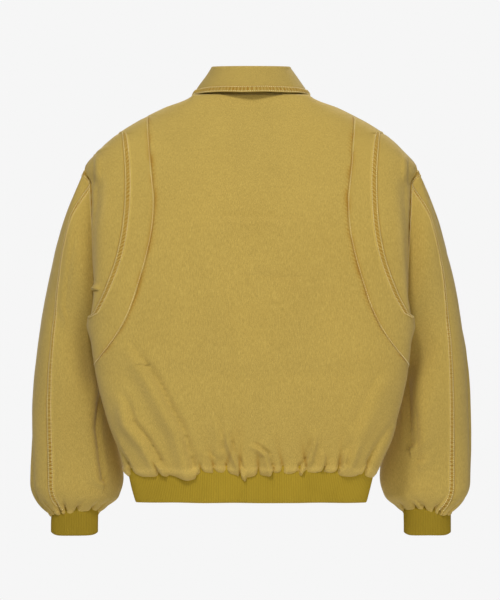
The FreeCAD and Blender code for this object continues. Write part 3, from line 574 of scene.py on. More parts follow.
class Shader:
    """Node material made by short calls; the surface is one Principled shader."""

    def __init__(self, name, roughness, **sockets):
        self.material = bpy.data.materials.new(name + "_finish")
        self.material.use_nodes = True
        self.tree = self.material.node_tree
        self.surface = self.tree.nodes["Principled BSDF"]
        self.surface.inputs["Roughness"].default_value = roughness
        for socket, value in sockets.items():
            self.surface.inputs[socket.replace("_", " ")].default_value = value

    def add(self, kind, values=(), **settings):
        made = self.tree.nodes.new(kind)
        for setting, value in settings.items():
            setattr(made, setting, value)
        for socket, value in dict(values).items():
            made.inputs[socket].default_value = value
        return made

    def join(self, source, target):
        self.tree.links.new(source, target)

    def noise(self, scale, stretch=(1.0, 1.0, 1.0), detail=2.0, source="Object"):
        """Noise from -0.5 to 0.5 or so, stretched along the axes it is scaled down on."""
        place = self.add("ShaderNodeTexCoord").outputs[source]
        mapping = self.add("ShaderNodeMapping", {"Scale": stretch})
        texture = self.add("ShaderNodeTexNoise", {"Scale": scale, "Detail": detail})
        self.join(place, mapping.inputs["Vector"])
        self.join(mapping.outputs["Vector"], texture.inputs["Vector"])
        return texture.outputs["Fac"]

    def ramp(self, value, low, high, bottom=0.0, top=1.0):
        spread = self.add("ShaderNodeMapRange", {"From Min": low, "From Max": high,
                                                 "To Min": bottom, "To Max": top})
        self.join(value, spread.inputs["Value"])
        return spread.outputs["Result"]

    def blend_colours(self, share, first, second):
        """Mix of two colours, each a colour value or another node's output."""
        mix = self.add("ShaderNodeMix", data_type="RGBA")
        for socket, colour in ((mix.inputs[6], first), (mix.inputs[7], second)):
            if isinstance(colour, bpy.types.NodeSocket):
                self.join(colour, socket)
            else:
                socket.default_value = (*colour, 1.0)
        self.join(share, mix.inputs[0])
        return mix.outputs[2]

    def attribute(self, name):
        return self.add("ShaderNodeAttribute", attribute_name=name).outputs["Fac"]

    def calculate(self, operation, first, second):
        made = self.add("ShaderNodeMath", operation=operation)
        for socket, value in zip(made.inputs, (first, second)):
            if isinstance(value, bpy.types.NodeSocket):
                self.join(value, socket)
            else:
                socket.default_value = value
        return made.outputs[0]

    def colour(self, value):
        self.join(value, self.surface.inputs["Base Color"])

    def bump(self, value, distance, strength=1.0):
        """Adds fine relief on top of any relief that is already there."""
        made = self.add("ShaderNodeBump", {"Distance": distance, "Strength": strength})
        target = self.surface.inputs["Normal"]
        if target.links:
            self.join(target.links[0].from_socket, made.inputs["Normal"])
        self.join(value, made.inputs["Height"])
        self.join(made.outputs["Normal"], target)


def weave(shader, pitch):
    """Height of a plain weave on the cloth map, in threads `pitch` apart."""
    place = shader.add("ShaderNodeUVMap", uv_map="cloth").outputs["UV"]
    heights = []
    for direction in ("X", "Y"):
        wave = shader.add("ShaderNodeTexWave", {"Scale": 0.5 * math.pi / pitch / 10.0, "Distortion": 0.6,
                                                "Detail": 1.0, "Detail Scale": 2.0},
                          bands_direction=direction)
        shader.join(place, wave.inputs["Vector"])
        heights.append(wave.outputs["Fac"])
    return shader.calculate("MULTIPLY", heights[0], heights[1])


def cotton_material(name, colours, tone, worn_and_shaded_seams=True):
    """Washed cotton: soft slubs down the cloth, mottled dye, paler worn ridges and painted shade in the
    pucker hollows.
    """
    shader = Shader(name, 0.92, Sheen_Weight=0.12, Sheen_Roughness=0.6, Specular_IOR_Level=0.18)
    base = np.array(colours.cotton) * tone
    pale = base * np.array((1.30, 1.32, 1.55))
    # deep is the orange-brown colour of the painted shade in pucker hollows, creases, grooves and seam dips.
    deep = base * np.array((0.74, 0.53, 0.14))
    slub = shader.noise(1.0, (1200.0, 1200.0, 160.0), 1.0)
    thread = shader.noise(1.0, (1500.0, 1500.0, 1200.0), 1.0)
    wash = shader.noise(11.0, (1.0, 1.0, 0.7), 4.0)
    dye = shader.noise(3.2, (1.0, 1.0, 1.0), 2.0)
    colour = shader.blend_colours(shader.ramp(wash, 0.32, 0.68), base * 0.945, base * 1.055)
    warm = base * np.array((1.0, 0.94, 0.76))
    colour = shader.blend_colours(shader.ramp(dye, 0.45, 0.75, 0.0, 0.45), colour, warm)
    colour = shader.blend_colours(shader.ramp(slub, 0.50, 0.74, 0.0, 0.60), colour, pale)
    colour = shader.blend_colours(shader.ramp(slub, 0.50, 0.28, 0.0, 0.60), colour, base * 0.72)
    colour = shader.blend_colours(shader.ramp(thread, 0.50, 0.74, 0.0, 0.60), colour, pale)
    colour = shader.blend_colours(shader.ramp(thread, 0.50, 0.26, 0.0, 0.60), colour, base * 0.70)
    if worn_and_shaded_seams:
        grain = shader.noise(420.0, (1.0, 1.0, 1.0), 2.0)
        patchy_painted_shade = shader.ramp(grain, 0.35, 0.60, 0.75, 1.0)
        painted_shade = shader.calculate("MULTIPLY", shader.attribute("painted_shade"), patchy_painted_shade)
        # Painted shade: darker, in random patches, in pucker hollows, gather creases, grooves and seam dips.
        colour = shader.blend_colours(painted_shade, colour, deep)
        patchy_wear = shader.ramp(grain, 0.62, 0.36, 0.35, 1.0)
        wear = shader.calculate("MULTIPLY", shader.attribute("wear"), patchy_wear)
        colour = shader.blend_colours(wear, colour, pale * 1.10)
    shader.colour(colour)
    shader.bump(slub, 0.10 * MM, 0.55)
    shader.bump(weave(shader, 0.62 * MM), 0.16 * MM, 0.6)
    return shader.material


def rib_material(name, colours, tone):
    shader = Shader(name, 0.95, Specular_IOR_Level=0.0)
    base = np.array(colours.rib) * tone
    wash = shader.noise(14.0, (1.0, 1.0, 0.8), 3.0)
    yarn = shader.noise(1.0, (900.0, 900.0, 260.0), 2.0)
    colour = shader.blend_colours(shader.ramp(wash, 0.30, 0.70), base * 0.93, base * 1.07)
    colour = shader.blend_colours(shader.ramp(yarn, 0.45, 0.78, 0.0, 0.30), colour, base * 1.30)
    # Painted shade: darker in the valleys between the ribs.
    colour = shader.blend_colours(shader.attribute("painted_shade"), colour, base * 0.66)
    shader.colour(colour)
    shader.bump(yarn, 0.22 * MM, 0.7)
    return shader.material


def thread_material(colours):
    shader = Shader("sewing_thread", 0.75, Sheen_Weight=0.2, Sheen_Roughness=0.5, Specular_IOR_Level=0.3)
    base = np.array(colours.thread)
    twist = shader.noise(1.0, (1400.0, 1400.0, 1400.0), 2.0)
    fade = shader.noise(30.0, (1.0, 1.0, 1.0), 2.0)
    colour = shader.blend_colours(shader.ramp(fade, 0.35, 0.65), base * 0.75, base * 1.10)
    colour = shader.blend_colours(shader.ramp(twist, 0.40, 0.70, 0.0, 0.25), colour, base * 0.7)
    shader.colour(colour)
    shader.bump(twist, 0.08 * MM, 0.6)
    return shader.material


def brass_material(colours):
    shader = Shader("antique_brass", 0.38, Metallic=1.0)
    base = np.array(colours.brass)
    patina = shader.noise(260.0, (1.0, 1.0, 1.0), 4.0)
    scratch = shader.noise(1.0, (2600.0, 2600.0, 240.0), 3.0)
    colour = shader.blend_colours(shader.ramp(patina, 0.38, 0.66), base * 0.42, base)
    colour = shader.blend_colours(shader.ramp(scratch, 0.52, 0.75, 0.0, 0.5), colour, base * 1.35)
    shader.colour(colour)
    shader.join(shader.ramp(patina, 0.3, 0.7, 0.55, 0.28), shader.surface.inputs["Roughness"])
    shader.bump(scratch, 0.03 * MM, 0.6)
    return shader.material


def tape_material(name, colour_value):
    """Herringbone cotton tape."""
    shader = Shader(name, 0.9, Sheen_Weight=0.1, Specular_IOR_Level=0.2)
    base = np.array(colour_value)
    place = shader.add("ShaderNodeTexCoord").outputs["Object"]
    rib = shader.add("ShaderNodeTexWave", {"Scale": 160.0, "Distortion": 1.2, "Detail": 2.0,
                                           "Detail Scale": 3.0}, bands_direction="DIAGONAL")
    shader.join(place, rib.inputs["Vector"])
    wash = shader.noise(90.0, (1.0, 1.0, 1.0), 3.0)
    colour = shader.blend_colours(shader.ramp(rib.outputs["Fac"], 0.2, 0.9), base * 0.72, base * 1.12)
    colour = shader.blend_colours(shader.ramp(wash, 0.40, 0.72, 0.0, 0.4), colour, base * 0.82)
    shader.colour(colour)
    shader.bump(rib.outputs["Fac"], 0.20 * MM, 0.7)
    return shader.material


def finish(name):
    """Finished material by name; each is made once, from the colours of the panel."""
    made = bpy.data.materials.get(name + "_finish")
    if made:
        return made
    colours = bpy.context.scene.jacket_colours
    builders = {
        "body_cotton": lambda: cotton_material("body_cotton", colours, 1.0),
        # Sleeve, collar and facing cottons are the body cotton darkened to 0.96, 0.92 and 0.92: painted
        # shade on copies of one cloth.
        "sleeve_cotton": lambda: cotton_material("sleeve_cotton", colours, 0.96),
        "collar_cotton": lambda: cotton_material("collar_cotton", colours, 0.92),
        "facing_cotton": lambda: cotton_material("facing_cotton", colours, 0.92),
        "rib_knit": lambda: rib_material("rib_knit", colours, 1.0),
        # The cuff knit is the rib knit darkened to 0.83: painted shade.
        "cuff_knit": lambda: rib_material("cuff_knit", colours, 0.83),
        "sewing_thread": lambda: thread_material(colours),
        "antique_brass": lambda: brass_material(colours),
        "zip_tape": lambda: tape_material("zip_tape", colours.tape),
        "neck_tape": lambda: tape_material("neck_tape", np.array(colours.cotton) * 0.86),
    }
    return builders[name]()


# ---------------------------------------------------------------- body panels
HEM_ROLL = 0.015
HEM_ROLL_RADIUS = 0.0055


def hem_pinch_angles():
    """Angles of every pinch round the hem, both sides, in degrees."""
    across = np.array(HEM_PINCHES_BACK, float) * MM
    back = np.copysign(back_angle_at_x(np.abs(across), BODY_LOW), across)
    side = np.array(HEM_PINCHES_SIDE, float)
    jitter = np.random.default_rng(41).uniform(-2.5, 2.5, len(side))
    return np.concatenate([back, side, -(side + jitter), (-180.0, 180.0)])


def body_patch(name, first, last, low, high, columns, rows, sign=1.0):
    """Body panel between two angle functions; a panel that reaches the hem rolls under at its foot."""
    to_hem = low <= BODY_LOW + 0.0001
    roll = HEM_ROLL if to_hem else 0.0
    reach = high - low

    def surface(across, up):
        length = up * (reach + roll) - roll
        z = low + np.maximum(length[:, 0], 0.0)
        angle = even_angles(body_point, first, last, z, across[0])
        point = body_point(angle, z[:, None] + 0.0 * angle)
        if to_hem:
            phase = np.radians(150.0) * np.clip(-length / roll, 0.0, 1.0)
            inward = body_inside(point) - point
            inward = inward / np.linalg.norm(inward, axis=-1, keepdims=True)
            point = point + inward * (HEM_ROLL_RADIUS * (1.0 - np.cos(phase)))[..., None]
            point[..., 2] -= HEM_ROLL_RADIUS * np.sin(phase)
        point[..., 0] *= sign
        return point

    patch = Patch(name, columns, rows, surface, body_inside)
    patch.height = np.maximum(patch.up * (reach + roll) - roll, 0.0)
    if to_hem:
        z = np.array([BODY_LOW])
        row_angle = even_angles(body_point, first, last, z, patch.across[0])[0] * sign
        row = body_point(row_angle, BODY_LOW + 0.0 * row_angle)
        run = np.concatenate([[0.0], np.cumsum(np.linalg.norm(np.diff(row, axis=0), axis=1))])
        order = np.argsort(row_angle)
        pinches = hem_pinch_angles()
        inside = pinches[(pinches > row_angle.min() - 25.0) & (pinches < row_angle.max() + 25.0)]
        slope = (run[-1] - run[0]) / (row_angle[-1] - row_angle[0])
        at = np.interp(inside, row_angle[order], run[order])
        at += np.where(inside > row_angle.max(), (inside - row_angle.max()) * slope, 0.0)
        at += np.where(inside < row_angle.min(), (inside - row_angle.min()) * slope, 0.0)
        patch.hem = (run[None, :] + 0.0 * patch.up, at)
    return patch


def close_neck(patch):
    """Draws the top of the shoulders in towards the collar."""
    x = np.abs(patch.point[..., 0])
    drawn = 0.75 * ease(1.0 + patch.point[..., 2] / 0.018)
    inward = drawn * np.maximum(x - NECK_EDGE, 0.0)
    patch.point[..., 0] -= np.copysign(inward, patch.point[..., 0])


def relieve_body(patch, folds, seed):
    """Drape, designed folds and hem gathers of a body panel."""
    x, z = patch.point[..., 0].copy(), patch.point[..., 2].copy()
    facing = np.where(patch.point[..., 1] > 0.0, 0.0, 7.3)
    calm = ease(-z / 0.05) * (0.35 + 0.65 * ease((-z - 0.05) / 0.25))
    close_neck(patch)
    height = drape(x + facing, z, seed) * calm
    height += fold_relief(x, z, folds)
    if hasattr(patch, "hem"):
        place, pinches = patch.hem
        drop, swell = gather(place, pinches, patch.height, seed + 5)
        height += swell * ease((patch.low + 0.001) / 0.006)
        near_hem = np.exp(-patch.height / 0.028)
        patch.point[..., 2] += 5.0 * MM * near_hem - drop * np.exp(-patch.height / 0.022)
        patch.point[..., 0] *= 1.0 - 0.045 * near_hem * ease((np.abs(x) - 0.14) / 0.06)
        # Painted shade: darker along the gather creases at the hem.
        patch.mark("painted_shade", 0.85 * np.clip(-swell / (3.0 * MM), 0.0, 1.0))
        patch.mark("wear", 0.55 * bell(patch.height - 1.0 * MM, 4.0 * MM) * ease(patch.low / HEM_ROLL))
    patch.raise_by(height)


def sides():
    return (("left", 1.0), ("right", -1.0))


def declare_cut(patch):
    """Works out the clipped flat area of a panel's cut; the value is not kept."""
    width, length = float(patch.left[:, -1].max()), float(patch.low[-1].max())
    float(np.clip(patch.cut, 0.31 * width * length, width * length))


def declare_cloth(patch, node):
    """Works out the cut of a panel, which is not kept, and hides the frame node it stands for."""
    declare_cut(patch)
    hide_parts(node)


def centre_seam_angle(z):
    return seam_angle(CENTRE_SEAM, z)


def outer_seam_angle(z):
    return seam_angle(OUTER_SEAM, z)


TOP_LAP = 0.004


def seam_low(seam):
    return -seam[-1][0] * UNDERARM_DROP - 0.012


def seam_high(seam):
    return -seam[0][0] * UNDERARM_DROP


def below_top(seam):
    """Angle of a seam that keeps its top value above its top, where the next panel laps over it."""
    return lambda z: seam_angle(seam, np.minimum(z, seam_high(seam) - 0.0006))


def lap_under(patch, seam):
    """Sinks the top of a panel below the panel that laps over it."""
    patch.raise_by(-0.7 * MM * ease((patch.point[..., 2] - seam_high(seam) + 0.0035) / 0.003))


def ditch_along(patch, distance, seed, low=-9.0, high=9.0):
    """Adds a plain seam along one side of a patch, between two heights."""
    z = patch.point[..., 2]
    inside = ease((z - low) / 0.006) * ease((high - z) / 0.006)
    height, wear, painted_shade = ditch_seam(distance, patch.low, seed)
    patch.raise_by(height * inside)
    patch.mark("wear", wear * inside)
    patch.mark("painted_shade", painted_shade * inside)


NECK_RISE = 5.5 * MM


def build_back_centre(context):
    sizes = context.scene.jacket_sizes
    patch = body_patch("back_centre_cloth", lambda z: -centre_seam_angle(z), centre_seam_angle,
                       BODY_LOW, BODY_HIGH, 180, 262)
    left, right = patch.left.copy(), patch.right.copy()
    relieve_body(patch, BACK_FOLDS, 11)
    behind_neck = ease((patch.point[..., 1] - RIDGE_REACH) / 0.030)
    patch.point[..., 2] += NECK_RISE * ease(1.0 + patch.point[..., 2] / 0.022) * behind_neck
    for distance, seed in ((left, 21), (right, 22)):
        ditch_along(patch, distance, seed)
    piece = patch.make(finish("body_cotton"), sizes.cloth)
    declare_cloth(patch, "back_centre_panel")
    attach(piece, "jacket_body")


def build_gussets(context):
    sizes = context.scene.jacket_sizes
    width = sizes.felled_width
    for side, sign in sides():
        patch = body_patch(f"back_gusset_cloth_{side}", below_top(CENTRE_SEAM), outer_seam_angle,
                           seam_low(CENTRE_SEAM), seam_high(CENTRE_SEAM) + TOP_LAP, 48, 300, sign)
        from_centre, from_outer = patch.left.copy(), patch.right.copy()
        stitched = patch.point[..., 2] > seam_low(OUTER_SEAM) + 0.004
        topped = ease((seam_high(OUTER_SEAM) + 0.004 - patch.point[..., 2]) / 0.004)
        relieve_body(patch, BACK_FOLDS, 11)
        lap_under(patch, CENTRE_SEAM)
        ditch_along(patch, from_centre, 31 + int(sign))
        height, wear, painted_shade = felled_strip(from_outer, patch.low, width, 51 + int(sign))
        shown = np.where(stitched, topped, 0.0)
        patch.raise_by(height * shown)
        patch.mark("wear", wear * shown)
        patch.mark("painted_shade", painted_shade * shown)
        piece = patch.make(finish("body_cotton"), sizes.cloth)
        declare_cloth(patch, f"back_gusset_{side}")
        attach(piece, "jacket_body")
        share_high = 1.0 - (seam_high(CENTRE_SEAM) - seam_high(OUTER_SEAM)) / (
            seam_high(CENTRE_SEAM) - seam_low(CENTRE_SEAM))
        share_low = (seam_low(OUTER_SEAM) - seam_low(CENTRE_SEAM)) / (
            seam_high(CENTRE_SEAM) - seam_low(CENTRE_SEAM))
        rows = [patch.line(2.2 * MM, False),
                patch.line(1.9 * MM, True, share_low + 0.01, share_high),
                patch.line(width - 1.8 * MM, True, share_low + 0.01, share_high)]
        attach(sew(f"gusset_stitches_{side}", rows), "jacket_body")


SHOULDER_FOLD = 0.2625
FOLD_SWELL, FOLD_STEP, EDGE_STEP = 3.0 * MM, 6.0 * MM, 7.0 * MM


def fold_shoulder(patch, sign, from_edge, z, beside_arm, crumple):
    """Draws the edge in over the sleeve, with a fold of cloth standing in front of the armhole."""
    tuck = beside_arm * ease((0.062 - from_edge) / 0.045)
    patch.point[..., 0] -= sign * (10.0 + 1.2 * crumple) * MM * tuck
    patch.point[..., 1] += (4.0 + 1.5 * crumple) * MM * beside_arm * ease((0.026 - from_edge) / 0.020)
    patch.point[..., 1] -= EDGE_STEP * beside_arm * ease((0.004 - from_edge) / 0.004)
    beyond = np.abs(patch.point[..., 0]) - SHOULDER_FOLD
    folded = ease((-z - 0.096) / 0.012) * ease((0.16 + z) / 0.02)
    patch.point[..., 1] += FOLD_SWELL * folded * bell(beyond + 0.005, 0.005)
    patch.point[..., 1] -= FOLD_STEP * folded * ease(beyond / 0.0018 + 0.5) * ease(from_edge / 0.006)


def build_shoulders(context):
    sizes = context.scene.jacket_sizes
    for side, sign in sides():
        patch = body_patch(f"back_shoulder_cloth_{side}", below_top(OUTER_SEAM),
                           lambda z: edge_angle(z, 1.0), -UNDERARM_DROP + 0.004,
                           seam_high(OUTER_SEAM) + TOP_LAP, 44, 190, sign)
        from_seam, from_edge = patch.left.copy(), patch.right.copy()
        z = patch.point[..., 2]
        relieve_body(patch, BACK_FOLDS, 11)
        lap_under(patch, OUTER_SEAM)
        beside_arm = ease((ARM_TOP[2] - z) / 0.024)
        crumple = smooth_noise(z / 0.045, from_edge / 0.03, 61 + int(sign))
        fold_shoulder(patch, sign, from_edge, z, beside_arm, crumple)
        dip = -0.10 * MM * bell(from_seam, 1.2 * MM)
        puckers = 0.35 * MM * smooth_noise(z / 0.009, from_seam / 0.03, 64) * np.exp(-from_seam / 0.008)
        patch.raise_by(dip + puckers)
        # Painted shade: darker in the dip along the seam.
        patch.mark("painted_shade", 0.55 * bell(from_seam, 1.6 * MM))
        rubbed = np.clip(crumple + 0.4, 0.0, 1.0)
        patch.mark("wear", 0.30 * beside_arm * bell(from_edge - 0.050, 0.008) * rubbed)
        piece = patch.make(finish("body_cotton"), sizes.cloth)
        declare_cloth(patch, f"back_shoulder_{side}")
        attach(piece, "jacket_body")


def build_fronts(context):
    sizes = context.scene.jacket_sizes
    for side, sign in sides():
        patch = body_patch(f"front_cloth_{side}", lambda z: edge_angle(z, -1.0), front_edge_angle,
                           BODY_LOW, BODY_HIGH - 0.0005, 100, 210, sign)
        from_side, from_zip = patch.left.copy(), patch.right.copy()
        z = patch.point[..., 2].copy()
        relieve_body(patch, (), 12)
        ditch_along(patch, from_side, 71 + int(sign))
        below_neck = ease((-NECK_FRONT_DROP - 0.004 - z) / 0.01)
        band = ease((0.006 - from_zip) / 0.0012) * below_neck
        patch.raise_by(0.4 * MM * band - 1.0 * MM * bell(from_zip, 0.9 * MM))
        # Painted shade: darker in uneven patches along the raised placket band.
        patch.mark("painted_shade", below_neck * bell(from_zip - 0.004, 0.003)
                   * np.clip(0.5 - smooth_noise(z / 0.007, 0.5, 75), 0.0, 1.0))
        piece = patch.make(finish("body_cotton"), sizes.cloth)
        declare_cloth(patch, f"front_panel_{side}")
        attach(piece, "jacket_body")
        top = 1.0 - (NECK_FRONT_DROP + 0.006) / BODY_LENGTH
        rows = [patch.line(distance, True, 0.03, top) for distance in (3.0 * MM, 9.0 * MM)]
        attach(sew(f"placket_stitches_{side}", rows), "jacket_body")


def build_facings(context):
    sizes = context.scene.jacket_sizes
    outer, inner = 0.061, 0.016
    for side, sign in sides():
        patch = body_patch(f"facing_cloth_{side}", lambda z: front_angle_at_x(outer, z),
                           lambda z: front_angle_at_x(inner, z), BODY_LOW + 0.002,
                           -NECK_FRONT_DROP - 0.008, 16, 90, sign)
        patch.raise_by(-3.4 * MM - 0.25 * MM * smooth_noise(patch.low / 0.03, patch.left / 0.03, 81))
        piece = patch.make(finish("facing_cotton"), sizes.cloth)
        declare_cloth(patch, f"front_facing_{side}")
        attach(piece, "jacket_body")
        rows = [patch.line(2.0 * MM, False)]
        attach(sew(f"facing_stitches_{side}", rows), "jacket_body")
    patch = body_patch("neck_facing_cloth", lambda z: -52.0 + 0.0 * z, lambda z: 52.0 + 0.0 * z,
                       -0.046, BODY_HIGH - 0.002, 60, 20)
    patch.raise_by(-4.2 * MM - 0.2 * MM * smooth_noise(patch.low / 0.02, patch.left / 0.03, 83))
    piece = patch.make(finish("neck_tape"), sizes.cloth)
    declare_cloth(patch, "neck_facing")
    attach(piece, "jacket_body")


# ---------------------------------------------------------------- sleeves
WRIST_ROLL = 0.016
WRIST_ROLL_RADIUS = 0.0055
WRIST_PINCHES = {
    "left": (-128, -96, -70, -40, -12, 22, 52, 68, 94, 128, 152, 178, 205, 232),
    "right": (-128, -100, -66, -38, -10, 24, 58, 74, 96, 116, 150, 180, 208, 232),
}


def sleeve_patch(name, first, last, columns, rows, side, sign):
    """Sleeve panel between two turn functions, from the rolled wrist up to the armhole."""
    share = WRIST_ROLL / SLEEVE_LENGTH

    def surface(across, up):
        along = 1.0 - (up * (1.0 + share) - share)
        level = np.minimum(along[:, 0], 1.0)
        turn = even_angles(lambda angle, place: sleeve_point(place, angle), first, last, level, across[0])
        point = sleeve_point(level[:, None] + 0.0 * turn, turn)
        phase = np.radians(140.0) * np.clip((along - 1.0) / share, 0.0, 1.0)
        centre = sleeve_ring(level)[0][:, None, :]
        inward = centre - point
        inward[..., 2] = 0.0
        inward = inward / np.maximum(np.linalg.norm(inward, axis=-1, keepdims=True), 1e-9)
        point = point + inward * (WRIST_ROLL_RADIUS * (1.0 - np.cos(phase)))[..., None]
        point[..., 2] -= WRIST_ROLL_RADIUS * np.sin(phase)
        point[..., 0] *= sign
        return point

    def inside(point):
        along = np.clip((ARM_CENTRE[2] - point[..., 2]) / 0.44, 0.0, 1.0)
        centre = sleeve_ring(along)[0]
        centre[..., 0] *= sign
        return np.stack([centre[..., 0], centre[..., 1], point[..., 2]], axis=-1)

    patch = Patch(name, columns, rows, surface, inside)
    patch.along = np.clip(1.0 - (patch.up * (1.0 + share) - share), 0.0, 1.0)
    level = patch.along[:, 0]
    patch.turn = even_angles(lambda angle, place: sleeve_point(place, angle), first, last, level,
                             patch.across[0])
    patch.height = np.maximum(1.0 - patch.along, 0.0) * SLEEVE_LENGTH
    relieve_sleeve(patch, side, sign)
    return patch


ARMHOLE_STRIP = 0.0115
HEAD_TUCK, HEAD_SINK = 13.0 * MM, 5.0 * MM
INNER_LEAN, WRIST_DRAW = 13.0 * MM, 9.0 * MM


def settle_sleeve(patch, sign):
    """Tucks the head under the back, leans the inner side on the body and draws it in at the wrist."""
    head = patch.along * SLEEVE_LENGTH
    behind = ease(np.sin(np.radians(patch.turn)) / 0.5)
    patch.point[..., 0] -= sign * HEAD_TUCK * behind * ease(1.0 - head / 0.060)
    patch.point[..., 1] -= HEAD_SINK * behind * ease(1.0 - head / 0.050)
    inner = ease((-np.cos(np.radians(patch.turn)) - 0.15) / 0.85)
    lean = bell(patch.along - 0.24, 0.24) * ease(patch.along / 0.05)
    draw = bell(patch.along - 0.95, 0.07) * ease((1.0 - patch.along) / 0.03)
    patch.point[..., 0] -= sign * INNER_LEAN * inner * lean
    patch.point[..., 0] += sign * WRIST_DRAW * inner * draw


def relieve_sleeve(patch, side, sign):
    """Drape, long folds, wrist gathers and armhole seam of a sleeve panel."""
    seed = 101 + int(sign)
    x, z = patch.point[..., 0].copy(), patch.point[..., 2].copy()
    facing = np.where(np.sin(np.radians(patch.turn)) > 0.0, 0.0, 5.7)
    height = drape(x + facing, z, seed) * (0.4 + 0.6 * ease(patch.along / 0.2))
    folds = SLEEVE_FOLDS_LEFT if side == "left" else SLEEVE_FOLDS_RIGHT
    around, down = patch.turn * MM, patch.along * SLEEVE_LENGTH
    laid = [([(turn, share * SLEEVE_LENGTH / MM) for turn, share in points], width, depth)
            for points, width, depth in folds]
    height += fold_relief(around, down, laid, 1.7)
    run_per_degree = 0.62 * MM
    pinches = np.array(WRIST_PINCHES[side], float) * run_per_degree
    drop, swell = gather(patch.turn * run_per_degree, pinches, patch.height, seed + 3)
    height += swell * 0.9 * ease((patch.low + 0.001) / 0.006)
    patch.point[..., 2] -= 0.8 * drop * np.exp(-patch.height / 0.022)
    settle_sleeve(patch, sign)
    head = patch.along * SLEEVE_LENGTH
    strip = ease((ARMHOLE_STRIP - head) / (1.2 * MM)) * ease(head / (0.8 * MM))
    pucker = puff_cells(patch.turn * run_per_degree, seed + 7)
    height += strip * (0.9 + 0.5 * pucker) * MM
    # Painted shade: darker where the armhole strip puckers dip.
    patch.mark("painted_shade", strip * np.clip(0.45 - pucker, 0.0, 1.0))
    rubbed_seam = 0.8 * bell(head - ARMHOLE_STRIP, 1.2 * MM)
    rubbed_wrist = 0.5 * bell(patch.height - 1.0 * MM, 4.0 * MM)
    patch.mark("wear", rubbed_seam + rubbed_wrist)
    patch.raise_by(height)


def bend_sleeve(piece):
    """Bakes the piece's transform into its mesh; nothing is bent."""
    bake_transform(piece)


def build_sleeves(context):
    sizes = context.scene.jacket_sizes
    width = sizes.felled_width - 1.0 * MM
    for side, sign in sides():
        outer = sleeve_patch(f"sleeve_outer_cloth_{side}", lambda along: -128.0 + 0.0 * along,
                             back_seam_turn, 90, 300, side, sign)
        under = sleeve_patch(f"sleeve_under_cloth_{side}", back_seam_turn,
                             lambda along: 232.0 + 0.0 * along, 110, 300, side, sign)
        from_seam = under.left.copy()
        height, wear, painted_shade = felled_strip(from_seam, under.low, width, 121 + int(sign))
        under.raise_by(height)
        under.mark("wear", wear)
        under.mark("painted_shade", painted_shade)
        outer.raise_by(-0.2 * MM * bell(outer.right, 1.2 * MM))
        # Painted shade: darker in the dip beside the raised felled seam.
        outer.mark("painted_shade", 0.5 * bell(outer.right, 1.6 * MM))
        for patch, distance, seed in ((outer, outer.left.copy(), 131), (under, under.right.copy(), 132)):
            ditch_along(patch, distance, seed)
        for patch, label in ((outer, "outer"), (under, "under")):
            piece = patch.make(finish("sleeve_cotton"), sizes.cloth)
            declare_cloth(patch, f"sleeve_{label}_{side}")
            bend_sleeve(piece)
        rows = [under.line(distance, False, 0.03, 0.99) for distance in (1.9 * MM, width - 1.8 * MM)]
        rows += [patch.level_line(distance, True) for patch in (outer, under)
                 for distance in (2.2 * MM, 9.6 * MM)]
        bend_sleeve(sew(f"sleeve_stitches_{side}", rows))


# ---------------------------------------------------------------- collar
COLLAR_FACE = 0.0037


def outward_at(turn):
    angle = np.radians(turn)
    return np.stack([np.sin(angle), np.cos(angle), 0.0 * angle], axis=-1)


def neck_point(turn):
    """Neckline of the left half: turn 0 is the back, 90 the shoulder and 180 the front."""
    angle = np.radians(turn)
    behind = np.stack([NECK_EDGE * np.sin(angle),
                       RIDGE_REACH + (NECK_BACK_REACH - RIDGE_REACH) * np.cos(angle), 0.0 * angle], axis=-1)
    z = -NECK_FRONT_DROP * np.sin(np.radians(np.maximum(turn - 90.0, 0.0)))
    ahead = surface_point(front_angle_at_x(neckline_x(z), z), z)
    beside = np.stack([NECK_EDGE + 0.0 * z, RIDGE_REACH + 0.0 * z, z], axis=-1)
    ahead = np.where((z < -0.0005)[..., None], ahead, beside)
    return np.where((turn <= 90.0)[..., None], behind, ahead)


def roll_point(turn):
    """Top fold of the collar."""
    angle = np.radians(turn)
    reach = np.where(turn <= 90.0, 0.043, 0.084)
    return np.stack([COLLAR_TOP_HALF * np.sin(angle), 0.005 + reach * np.cos(angle),
                     COLLAR_HEIGHT - 0.098 * ease((turn - 85.0) / 95.0)], axis=-1)


def leaf_point(turn):
    """Free lower edge of the turned-down collar."""
    spread = 13.0 - 13.5 * np.sin(np.radians(np.minimum(turn, 90.0))) + 18.0 * ease((turn - 90.0) / 60.0)
    lift = 6.8 - 4.3 * ease((turn - 40.0) / 45.0) + 1.5 * ease((turn - 84.0) / 12.0)
    lift = lift - 44.0 * ease((turn - 120.0) / 50.0)
    point = neck_point(turn) + outward_at(turn) * (spread * MM)[..., None]
    point[..., 2] += lift * MM
    return point


def collar_surface(across, up):
    """One folded cloth: up the outside from the free edge, over the roll and down to the neckline."""
    signed = (across * 2.0 - 1.0) * COLLAR_END
    turn = np.abs(signed)
    outward = outward_at(turn)
    leaf, roll, neck = leaf_point(turn), roll_point(turn), neck_point(turn)
    roll[..., 2] -= COLLAR_FACE
    neck[..., 2] -= 0.010
    fall = np.clip(up / 0.5, 0.0, 1.0)[..., None]
    over = np.clip((up - 0.5) / 0.1, 0.0, 1.0)
    stand = np.clip((up - 0.6) / 0.4, 0.0, 1.0)[..., None]
    base = np.where(up[..., None] <= 0.6, leaf + (roll - leaf) * fall, roll + (neck - roll) * stand)
    offset = COLLAR_FACE * np.cos(np.pi * over)
    point = base + outward * offset[..., None]
    point[..., 2] += COLLAR_FACE * np.sin(np.pi * over)
    point[..., 0] = np.copysign(point[..., 0], signed)
    return point


